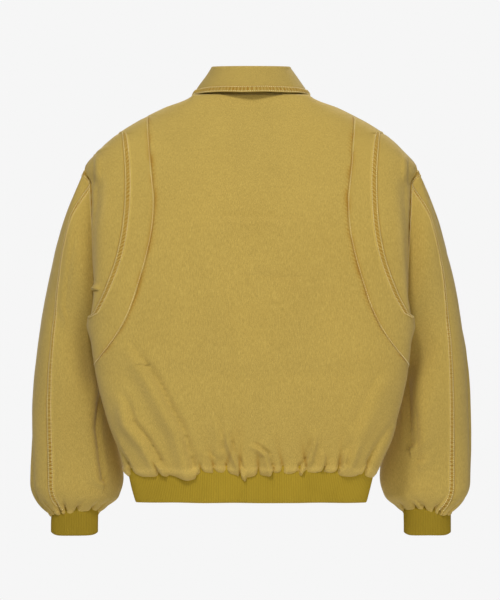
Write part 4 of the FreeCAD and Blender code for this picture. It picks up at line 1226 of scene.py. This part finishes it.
def build_collar(context):
    sizes = context.scene.jacket_sizes

    def inside(point):
        return point * np.array((0.0, 0.0, 1.0)) + np.array((0.0, 0.010, 0.0))

    patch = Patch("collar_cloth", 300, 90, collar_surface, inside)
    width = sizes.collar_band
    run, rise = patch.left[0] + 0.0 * patch.up, patch.low.copy()
    fall = ease((0.52 - patch.up) / 0.04)
    wave = smooth_noise(run / 0.045, 0.5, 151)
    patch.point[..., 2] += (0.7 * wave + 0.5 * smooth_noise(run / 0.016, 0.5, 152)) * MM * fall * np.exp(
        -rise / 0.02)
    height, wear, painted_shade = felled_strip(rise, run, width, 153)
    height += 0.5 * MM * smooth_noise(run / 0.05, rise / 0.02, 154)
    patch.raise_by(height * fall - 0.4 * MM * bell(rise - width - 0.6 * MM, 1.2 * MM) * fall)
    patch.mark("wear", wear * fall)
    # Painted shade: darker in the groove inside the stitched band and between the puffs.
    patch.mark("painted_shade", np.maximum(painted_shade, 0.7 * bell(rise - width - 0.5 * MM, 1.0 * MM)) * fall)
    patch.mark("wear", 0.25 * bell(patch.up - 0.54, 0.03))
    piece = patch.make(finish("collar_cotton"), sizes.collar_cloth)
    declare_cut(patch)
    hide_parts("collar_fall", "collar_stand")
    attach(piece, "jacket_body")
    rows = [patch.level_line(distance, False) for distance in (1.9 * MM, width - 1.8 * MM)]
    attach(sew("collar_stitches", rows), "jacket_body")


# ---------------------------------------------------------------- rib knit
def rib_wave(run, pitch):
    """Rounded rib with a narrow valley beside it."""
    return np.abs(np.cos(np.pi * run / pitch)) ** 0.7


def folded_profile(up, height, wall):
    """Down the inside, round the fold and up the outside: inset from the face and drop from the top."""
    down = np.clip(up / 0.28, 0.0, 1.0)
    round_it = np.clip((up - 0.28) / 0.20, 0.0, 1.0)
    rise = np.clip((up - 0.48) / 0.52, 0.0, 1.0)
    radius = wall / 2.0
    inset = radius + radius * np.cos(np.pi * round_it)
    drop = np.where(up < 0.48, (height - radius) * down + radius * np.sin(np.pi * round_it),
                    (height - radius) * (1.0 - rise))
    return inset, drop


def rib_finish(patch, pitch, depth, seed):
    """Raises the ribs, with a little unevenness, and paints shade into the valleys between them."""
    run = patch.left[patch.left.shape[0] // 2][None, :] + 0.0 * patch.up
    wave = rib_wave(run, pitch)
    uneven = 1.0 + 0.35 * smooth_noise(run / 0.03, patch.low / 0.02, seed)
    swell = 0.7 * MM * smooth_noise(run / 0.05, patch.low / 0.03, seed + 1)
    patch.raise_by(depth * (wave - 0.5) * uneven + swell)
    # Painted shade in the rib valleys.
    patch.mark("painted_shade", 0.85 * (1.0 - wave) ** 1.5)


def build_hem_rib(context):
    sizes = context.scene.jacket_sizes
    end = float(front_angle_at_x(PLACKET_EDGE, -BODY_LENGTH))
    top, wall = 0.008, 0.004

    def outline(angle, drop, inset):
        draw = 0.003 + 0.014 * np.maximum(drop - top, 0.0) / 0.055 + 0.0015 * ease((top - drop) / top)
        point = surface_point(angle, -BODY_LENGTH)
        flat = point - np.array((0.0, 0.010, -BODY_LENGTH))
        reach = np.linalg.norm(flat, axis=-1)
        turn = np.abs(np.cos(np.radians(angle))) ** 4
        shrink = 1.0 - (draw * (1.0 - turn) + inset) / reach
        return np.stack([flat[..., 0] * shrink, flat[..., 1] * shrink + 0.010,
                         -BODY_LENGTH + top - drop], axis=-1)

    def surface(across, up):
        row = even_angles(lambda angle, z: surface_point(angle, -BODY_LENGTH + 0.0 * z),
                          lambda z: -end + 0.0 * z, lambda z: end + 0.0 * z, np.zeros(1), across[0])[0]
        inset, drop = folded_profile(up, 0.055 + top, wall)
        return outline(row[None, :] + 0.0 * up, drop, inset)

    patch = Patch("hem_rib_knit", 2280, 17, surface, body_inside)
    rib_finish(patch, sizes.rib_pitch, sizes.rib_depth, 161)
    piece = patch.make(finish("rib_knit"), 1.1 * MM)
    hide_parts("hem_rib")
    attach(piece, "jacket_body")


def build_cuffs(context):
    sizes = context.scene.jacket_sizes
    top_z, height, wall = ARM_TOP[2] - SLEEVE_LENGTH - PIECE_GAP, 0.042, 0.004
    extra = 0.010
    for side, sign in sides():
        def surface(across, up, sign=sign):
            fine = np.linspace(0.0, 2.0 * np.pi, 721)
            run = np.concatenate([[0.0], np.cumsum(np.hypot(np.diff(CUFF_HALF_WIDTH * np.cos(fine)),
                                                            np.diff(CUFF_HALF_DEPTH * np.sin(fine))))])
            turn = np.interp(across[0] * run[-1], run, fine)[None, :] + 0.0 * up
            inset, drop = folded_profile(up, height + extra, wall)
            lift = 0.0045 * np.abs(np.cos(turn)) ** 8 * np.clip(drop / height, 0.0, 1.0) ** 6
            tuck = 0.0025 * ease((extra - drop) / extra)
            x = (CUFF_HALF_WIDTH - inset - tuck) * np.cos(turn)
            y = (CUFF_HALF_DEPTH - inset - tuck) * np.sin(turn)
            return np.stack([sign * (CUFF_X + PIECE_GAP + x), ARM_CENTRE[1] - SLEEVE_FORWARD + y,
                             top_z + extra - drop + lift], axis=-1)

        def inside(point, sign=sign):
            centre = np.array((sign * CUFF_X, ARM_CENTRE[1] - SLEEVE_FORWARD, 0.0))
            return centre + point * np.array((0.0, 0.0, 1.0))

        patch = Patch(f"cuff_knit_{side}", 480, 22, surface, inside)
        ribs = round(float(patch.left[11, -1]) / sizes.rib_pitch)
        rib_finish(patch, float(patch.left[11, -1]) / ribs, sizes.rib_depth, 171 + int(sign))
        patch.point[:, -1] = patch.point[:, 0]
        piece = patch.make(finish("cuff_knit"), 1.1 * MM)
        close_seam(piece.data)
        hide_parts(f"cuff_rib_{side}")
        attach(piece, f"sleeve_{side}")


def close_seam(mesh):
    """Joins the two edges of a piece that goes all the way round."""
    bm = bmesh.new()
    bm.from_mesh(mesh)
    bmesh.ops.remove_doubles(bm, verts=bm.verts, dist=0.00001)
    bm.to_mesh(mesh)
    bm.free()
    mesh.shade_smooth()


# ---------------------------------------------------------------- pockets
POCKET_INNER, POCKET_WIDTH, POCKET_TOP, POCKET_HEIGHT = 0.058, 0.096, -0.428, 0.130
FLAP_HALF, FLAP_DEEP, FLAP_POINT, FLAP_WALL = 0.051, 0.046, 0.009, 0.0022
FLAP_PLACE = Matrix.Translation((0.107248, -0.0903735, POCKET_TOP)) @ Matrix.Rotation(
    math.radians(13.4019), 4, "Z")


def flap_frame(sign):
    """Frame of a flap: its mouth edge runs along X and its face looks along -Y."""
    mirror = Matrix.Diagonal((sign, 1.0, 1.0, 1.0))
    return mirror @ FLAP_PLACE


def placed(points, matrix):
    turn = np.array(matrix.to_3x3())
    return points @ turn.T + np.array(matrix.translation)


def build_pockets(context):
    sizes = context.scene.jacket_sizes
    for side, sign in sides():
        patch = body_patch(f"pocket_cloth_{side}",
                           lambda z: front_angle_at_x(POCKET_INNER + POCKET_WIDTH, z),
                           lambda z: front_angle_at_x(POCKET_INNER, z),
                           POCKET_TOP - POCKET_HEIGHT, POCKET_TOP - 0.008, 48, 62, sign)
        edge = np.minimum(np.minimum(patch.left, patch.right), patch.low)
        run = patch.left + patch.low
        x, z = patch.point[..., 0], patch.point[..., 2]
        calm = 0.35 + 0.65 * ease((-z - 0.05) / 0.25)
        height = drape(x + 7.3, z, 12) * calm + 2.3 * MM
        height += 0.8 * MM * ease(edge / 0.03) - 1.5 * MM * bell(edge, 0.9 * MM)
        height -= 0.35 * MM * (bell(edge - 2.0 * MM, 0.8 * MM) + bell(edge - 8.0 * MM, 0.8 * MM))
        pucker = smooth_noise(run / 0.006, 0.5, 181)
        height += 0.3 * MM * pucker * bell(edge - 5.0 * MM, 2.5 * MM)
        patch.raise_by(height)
        patch.mark("wear", 0.6 * bell(edge, 1.0 * MM))
        # Painted shade: darker where the stitched edge band puckers dip.
        patch.mark("painted_shade", bell(edge - 5.0 * MM, 3.0 * MM) * np.clip(0.4 - pucker, 0.0, 1.0))
        piece = patch.make(finish("body_cotton"), sizes.cloth)
        declare_cloth(patch, f"pocket_patch_{side}")
        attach(piece, "jacket_body")
        rows = []
        for distance in (2.0 * MM, 8.0 * MM):
            share, across = distance / POCKET_HEIGHT, distance / POCKET_WIDTH
            rows += [patch.line(distance, False, share), patch.line(distance, True, share),
                     patch.level_line(distance, False, across, 1.0 - across)]
        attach(sew(f"pocket_stitches_{side}", rows), "jacket_body")


def build_flaps(context):
    for side, sign in sides():
        def surface(across, up, sign=sign):
            x = (across * 2.0 - 1.0) * FLAP_HALF
            deep = FLAP_DEEP + FLAP_POINT * np.clip(1.0 - np.abs(x) / (FLAP_HALF - 0.003), 0.0, 1.0)
            deep -= 0.004 * np.clip((np.abs(x) - FLAP_HALF + 0.004) / 0.004, 0.0, 1.0) ** 2
            local = np.stack([x, -FLAP_WALL + 0.0 * x, -deep * (1.0 - up)], axis=-1)
            return placed(local, flap_frame(sign))

        def inside(point):
            return point + np.array((0.0, 0.05, 0.0))

        patch = Patch(f"flap_cloth_{side}", 60, 34, surface, inside)
        edge = np.minimum(np.minimum(patch.left, patch.right), patch.low)
        run = patch.left + patch.low
        pucker = smooth_noise(run / 0.006, 0.5, 191)
        height = 0.6 * MM * ease(edge / 0.012) * (1.0 - 0.4 * ease(edge / 0.03))
        height -= 0.9 * MM * bell(edge, 0.9 * MM)
        height -= 0.3 * MM * (bell(edge - 2.0 * MM, 0.8 * MM) + bell(edge - 8.0 * MM, 0.8 * MM))
        height += 0.3 * MM * pucker * bell(edge - 5.0 * MM, 2.5 * MM)
        patch.raise_by(height)
        patch.mark("wear", 0.7 * bell(edge, 1.0 * MM))
        # Painted shade: darker where the stitched edge band puckers dip.
        patch.mark("painted_shade", bell(edge - 5.0 * MM, 3.0 * MM) * np.clip(0.4 - pucker, 0.0, 1.0))
        piece = patch.make(finish("body_cotton"), 1.7 * MM)
        declare_cloth(patch, f"pocket_flap_{side}")
        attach(piece, f"flap_{side}")
        rows = []
        for distance in (2.0 * MM, 8.0 * MM):
            share = distance / FLAP_HALF / 2.0
            rows += [patch.line(distance, False, share * 2.0), patch.line(distance, True, share * 2.0),
                     patch.level_line(distance, False, share, 1.0 - share)]
        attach(sew(f"flap_stitches_{side}", rows), f"flap_{side}")
        build_snap(side, sign)


def build_snap(side, sign):
    """Domed press-stud cap with a rolled rim, spun about its own axis."""
    bm = bmesh.new()
    profile = ((7.4, 0.0), (7.5, 0.5), (7.2, 1.0), (6.6, 1.15), (6.2, 0.95), (5.6, 0.95), (4.6, 1.35),
               (3.0, 1.65), (1.4, 1.78), (0.0, 1.8))
    points = [bm.verts.new((radius * MM, 0.0, height * MM)) for radius, height in profile]
    edges = [bm.edges.new(pair) for pair in zip(points, points[1:])]
    bmesh.ops.spin(bm, geom=points + edges, cent=(0, 0, 0), axis=(0, 0, 1), angle=2.0 * math.pi,
                   steps=40, use_merge=True)
    bmesh.ops.remove_doubles(bm, verts=bm.verts, dist=0.01 * MM)
    bmesh.ops.holes_fill(bm, edges=[edge for edge in bm.edges if edge.is_boundary], sides=0)
    bmesh.ops.recalc_face_normals(bm, faces=bm.faces)
    place = flap_frame(sign) @ Matrix.Translation((0.0, -FLAP_WALL - 0.3 * MM, -FLAP_DEEP + 0.008))
    bm.transform(place @ Matrix.Rotation(math.pi / 2.0, 4, "X"))
    bmesh.ops.recalc_face_normals(bm, faces=bm.faces)
    mesh = bpy.data.meshes.new(f"snap_dome_{side}")
    bm.to_mesh(mesh)
    bm.free()
    mesh.shade_smooth()
    cap = add_object(f"snap_dome_{side}", mesh, finish("antique_brass"))
    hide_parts(f"snap_cap_{side}")
    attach(cap, f"flap_{side}")


# ---------------------------------------------------------------- zip and hanger loop
ZIP_TOP, ZIP_BOTTOM, ZIP_Y = -0.079, -0.678, -0.0948
METAL_NODES = ("zip_teeth_left", "zip_teeth_right", "zip_slider", "zip_pull", "zip_box", "zip_pin",
               "zip_top_stops", "snap_stud_left", "snap_stud_right")


def build_zip(context):
    for name in METAL_NODES:
        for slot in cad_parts[name].material_slots:
            slot.material = finish("antique_brass")
    for side, sign in sides():
        def surface(across, up, sign=sign):
            x = sign * (0.0032 + 0.0124 * across)
            return np.stack([x, ZIP_Y - 0.0004 + 0.0 * x, ZIP_BOTTOM + (ZIP_TOP - ZIP_BOTTOM) * up], axis=-1)

        def inside(point):
            return point + np.array((0.0, 0.05, 0.0))

        patch = Patch(f"tape_cloth_{side}", 14, 60, surface, inside)
        patch.raise_by(0.35 * MM * bell(patch.left, 1.2 * MM)
                       - 0.12 * MM * bell(patch.left - 3.5 * MM, 1.0 * MM))
        piece = patch.make(finish("zip_tape"), 0.75 * MM)
        declare_cloth(patch, f"zip_tape_{side}")
        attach(piece, "jacket_body")


def build_loop(context):
    """Cloth loop sewn inside the back neck."""
    y, half, drop, band = 0.0526, 0.028, 0.012, 0.006
    low = -drop + band / 2
    line = np.array(((-half + band / 2, 0.0), (-half + band / 2, -drop * 0.55), (-half + band, low),
                     (-half + 2.2 * band, low), (half - 2.2 * band, low),
                     (half - band, low), (half - band / 2, -drop * 0.55), (half - band / 2, 0.0)))

    def surface(across, up):
        steps = np.concatenate([[0.0], np.cumsum(np.linalg.norm(np.diff(line, axis=0), axis=1))])
        at = across * steps[-1]
        x = smooth_curve(list(zip(steps, line[:, 0])), at)
        z = smooth_curve(list(zip(steps, line[:, 1])), at)
        ahead_x, ahead_z = np.gradient(x, axis=1), np.gradient(z, axis=1)
        length = np.hypot(ahead_x, ahead_z)
        wide = (up - 0.5) * band
        sag = 0.0010 * np.sin(np.pi * across)
        return np.stack([x - ahead_z / length * wide, y - 0.0004 - sag,
                         -0.007 + z + ahead_x / length * wide], axis=-1)

    patch = Patch("hanger_loop_cloth", 90, 8, surface, lambda point: point + np.array((0.0, 0.05, 0.0)))
    edge = np.minimum(patch.low, patch.high)
    patch.raise_by(0.25 * MM * ease(edge / 0.0012))
    piece = patch.make(finish("neck_tape"), 1.3 * MM)
    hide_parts("hanger_loop")
    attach(piece, "loop")


# ---------------------------------------------------------------- stage
def area_light(name, place, target, size, power):
    data = bpy.data.lights.new(name, "AREA")
    data.shape = "DISK"
    data.size = size
    data.energy = power
    lamp = bpy.data.objects.new(name, data)
    lamp.location = place
    aim = Vector(target) - Vector(place)
    lamp.rotation_euler = aim.to_track_quat("-Z", "Y").to_euler()
    bpy.context.scene.collection.objects.link(lamp)


FLOOR_GLOW = 0.6
KEY_POWER, FILL_POWER = 128.0, 46.0


def build_floor(colours, level):
    bm = bmesh.new()
    bmesh.ops.create_grid(bm, x_segments=8, y_segments=8, size=14.0)
    bm.transform(Matrix.Translation((0.0, 0.0, level)))
    mesh = bpy.data.meshes.new("studio_floor")
    bm.to_mesh(mesh)
    bm.free()
    shader = Shader("studio_floor", 0.95, Specular_IOR_Level=0.1)
    tone = np.array(colours.backdrop)
    mottle = shader.noise(0.8, (1.0, 1.0, 1.0), 2.0)
    shader.colour(shader.blend_colours(shader.ramp(mottle, 0.3, 0.7), tone * 0.985, tone))
    seen_floor = shader.add("ShaderNodeLightPath").outputs["Is Camera Ray"]
    shader.surface.inputs["Emission Color"].default_value = (*colours.backdrop, 1.0)
    glow = shader.calculate("MULTIPLY", seen_floor, FLOOR_GLOW)
    shader.join(glow, shader.surface.inputs["Emission Strength"])
    add_object("studio_floor", mesh, shader.material)


def build_world(colours, strength):
    """Even light from all round, seen by the camera as the plain backdrop."""
    world = bpy.data.worlds.new("studio")
    world.use_nodes = True
    tree = world.node_tree
    fill = tree.nodes["Background"]
    fill.inputs["Color"].default_value = (1.0, 1.0, 1.0, 1.0)
    fill.inputs["Strength"].default_value = strength
    seen = tree.nodes.new("ShaderNodeBackground")
    seen.inputs["Color"].default_value = (*colours.backdrop, 1.0)
    path = tree.nodes.new("ShaderNodeLightPath")
    mix = tree.nodes.new("ShaderNodeMixShader")
    tree.links.new(path.outputs["Is Camera Ray"], mix.inputs[0])
    tree.links.new(fill.outputs[0], mix.inputs[1])
    tree.links.new(seen.outputs[0], mix.inputs[2])
    tree.links.new(mix.outputs[0], tree.nodes["World Output"].inputs["Surface"])
    return world


def build_camera():
    data = bpy.data.cameras.new("camera")
    data.lens = 500.0
    data.clip_end = 100.0
    camera = bpy.data.objects.new("camera", data)
    camera.location = (0.0017, 14.0, -0.341)
    camera.rotation_euler = (math.pi / 2.0, 0.0, math.pi)
    return camera


def build_stage(context):
    colours = context.scene.jacket_colours
    sizes = context.scene.jacket_sizes
    build_floor(colours, sizes.floor_level)
    context.scene.world = build_world(colours, sizes.fill_light)
    middle = (0.0, 0.0, -0.35)
    area_light("key_behind", (0.7, 3.3, 3.2), middle, 1.0, KEY_POWER)
    area_light("fill_behind", (-1.8, 4.2, 0.2), middle, 2.0, FILL_POWER)
    area_light("key_front", (-0.7, -3.3, 3.2), middle, 1.0, KEY_POWER)
    area_light("fill_front", (1.8, -4.2, 0.2), middle, 2.0, FILL_POWER)
    camera = build_camera()
    context.scene.collection.objects.link(camera)
    context.scene.camera = camera
    context.scene.view_settings.view_transform = "Standard"


# ---------------------------------------------------------------- properties, operators and panel
def length_setting(name, description, default):
    return bpy.props.FloatProperty(name=name, description=description, default=default, unit="LENGTH")


def colour_setting(name, description, red, green, blue):
    return bpy.props.FloatVectorProperty(name=name, description=description, subtype="COLOR",
                                         default=linear(red, green, blue))


class JacketSizes(bpy.types.PropertyGroup):
    """Cloth, seam and knit sizes that the pieces are made to."""

    cloth: length_setting("Cloth", "Thickness of the cotton cloth", 0.9 * MM)
    collar_cloth: length_setting("Collar cloth", "Thickness of the interlined collar", 2.0 * MM)
    felled_width: length_setting("Felled seam", "Width of the double-stitched seam", 11.5 * MM)
    collar_band: length_setting("Collar band", "Width of the stitched collar edge", 12.0 * MM)
    rib_pitch: length_setting("Rib pitch", "Distance from one knitted rib to the next", 2.9 * MM)
    rib_depth: length_setting("Rib depth", "Height of a knitted rib", 0.55 * MM)
    floor_level: length_setting("Floor level", "Height of the studio floor", -1.9)
    fill_light: bpy.props.FloatProperty(
        name="Fill light", description="Strength of the light from all round", default=0.27)


class JacketColours(bpy.types.PropertyGroup):
    """Colours of the cloth, knit, thread and metal."""

    cotton: colour_setting("Cotton", "Washed cotton cloth", 184, 156, 75)
    rib: colour_setting("Rib", "Rib-knit hem and cuffs", 168, 141, 46)
    thread: colour_setting("Thread", "Sewing thread", 250, 233, 172)
    brass: colour_setting("Brass", "Aged metal of the zip and press studs", 150, 126, 78)
    tape: colour_setting("Tape", "Woven zip tape", 150, 128, 62)
    backdrop: colour_setting("Backdrop", "Pale floor and surroundings", 246, 246, 246)


class JACKET_OT_back(bpy.types.Operator):
    """Makes the back: centre panel, gussets and shoulder panels, with their seams"""

    bl_idname = "jacket.back"
    bl_label = "Back panels"

    def execute(self, context):
        build_back_centre(context)
        build_gussets(context)
        build_shoulders(context)
        return {"FINISHED"}


class JACKET_OT_front(bpy.types.Operator):
    """Makes the two fronts and the facings inside them"""

    bl_idname = "jacket.front"
    bl_label = "Front panels"

    def execute(self, context):
        build_fronts(context)
        build_facings(context)
        return {"FINISHED"}


class JACKET_OT_sleeves(bpy.types.Operator):
    """Makes the sleeves"""

    bl_idname = "jacket.sleeves"
    bl_label = "Sleeves"

    def execute(self, context):
        build_sleeves(context)
        return {"FINISHED"}


class JACKET_OT_collar(bpy.types.Operator):
    """Makes the turned-down collar"""

    bl_idname = "jacket.collar"
    bl_label = "Collar"

    def execute(self, context):
        build_collar(context)
        return {"FINISHED"}


class JACKET_OT_ribs(bpy.types.Operator):
    """Makes the rib-knit hem and cuffs"""

    bl_idname = "jacket.ribs"
    bl_label = "Rib hem and cuffs"

    def execute(self, context):
        build_hem_rib(context)
        build_cuffs(context)
        return {"FINISHED"}


class JACKET_OT_pockets(bpy.types.Operator):
    """Makes the patch pockets with their flaps and press studs"""

    bl_idname = "jacket.pockets"
    bl_label = "Pockets"

    def execute(self, context):
        build_pockets(context)
        build_flaps(context)
        return {"FINISHED"}


class JACKET_OT_zip(bpy.types.Operator):
    """Finishes the zip and makes its tapes"""

    bl_idname = "jacket.zip"
    bl_label = "Zip"

    def execute(self, context):
        build_zip(context)
        return {"FINISHED"}


class JACKET_OT_loop(bpy.types.Operator):
    """Makes the hanger loop inside the back neck"""

    bl_idname = "jacket.loop"
    bl_label = "Hanger loop"

    def execute(self, context):
        build_loop(context)
        return {"FINISHED"}


class JACKET_OT_stage(bpy.types.Operator):
    """Sets out the pale floor, the soft lights and the camera"""

    bl_idname = "jacket.stage"
    bl_label = "Stage"

    def execute(self, context):
        build_stage(context)
        return {"FINISHED"}


OPERATORS = (JACKET_OT_back, JACKET_OT_front, JACKET_OT_sleeves, JACKET_OT_collar, JACKET_OT_ribs,
             JACKET_OT_pockets, JACKET_OT_zip, JACKET_OT_loop, JACKET_OT_stage)


class JACKET_PT_panel(bpy.types.Panel):
    """Lists the pieces of the jacket with their sizes and colours"""

    bl_idname = "JACKET_PT_panel"
    bl_label = "Blouson jacket"
    bl_space_type = "VIEW_3D"
    bl_region_type = "UI"
    bl_category = "Jacket"

    def draw(self, context):
        for operator in OPERATORS:
            self.layout.operator(operator.bl_idname)
        for group in (context.scene.jacket_sizes, context.scene.jacket_colours):
            for name in group.__annotations__:
                self.layout.prop(group, name)


CLASSES = (JacketSizes, JacketColours, *OPERATORS, JACKET_PT_panel)


def register():
    for item in CLASSES:
        bpy.utils.register_class(item)
    bpy.types.Scene.jacket_sizes = bpy.props.PointerProperty(type=JacketSizes)
    bpy.types.Scene.jacket_colours = bpy.props.PointerProperty(type=JacketColours)


def unregister():
    del bpy.types.Scene.jacket_sizes
    del bpy.types.Scene.jacket_colours
    for item in reversed(CLASSES):
        bpy.utils.unregister_class(item)


def main():
    register()
    for operator in OPERATORS:
        group, name = operator.bl_idname.split(".")
        getattr(getattr(bpy.ops, group), name)()


if __name__ == "__main__":
    main()
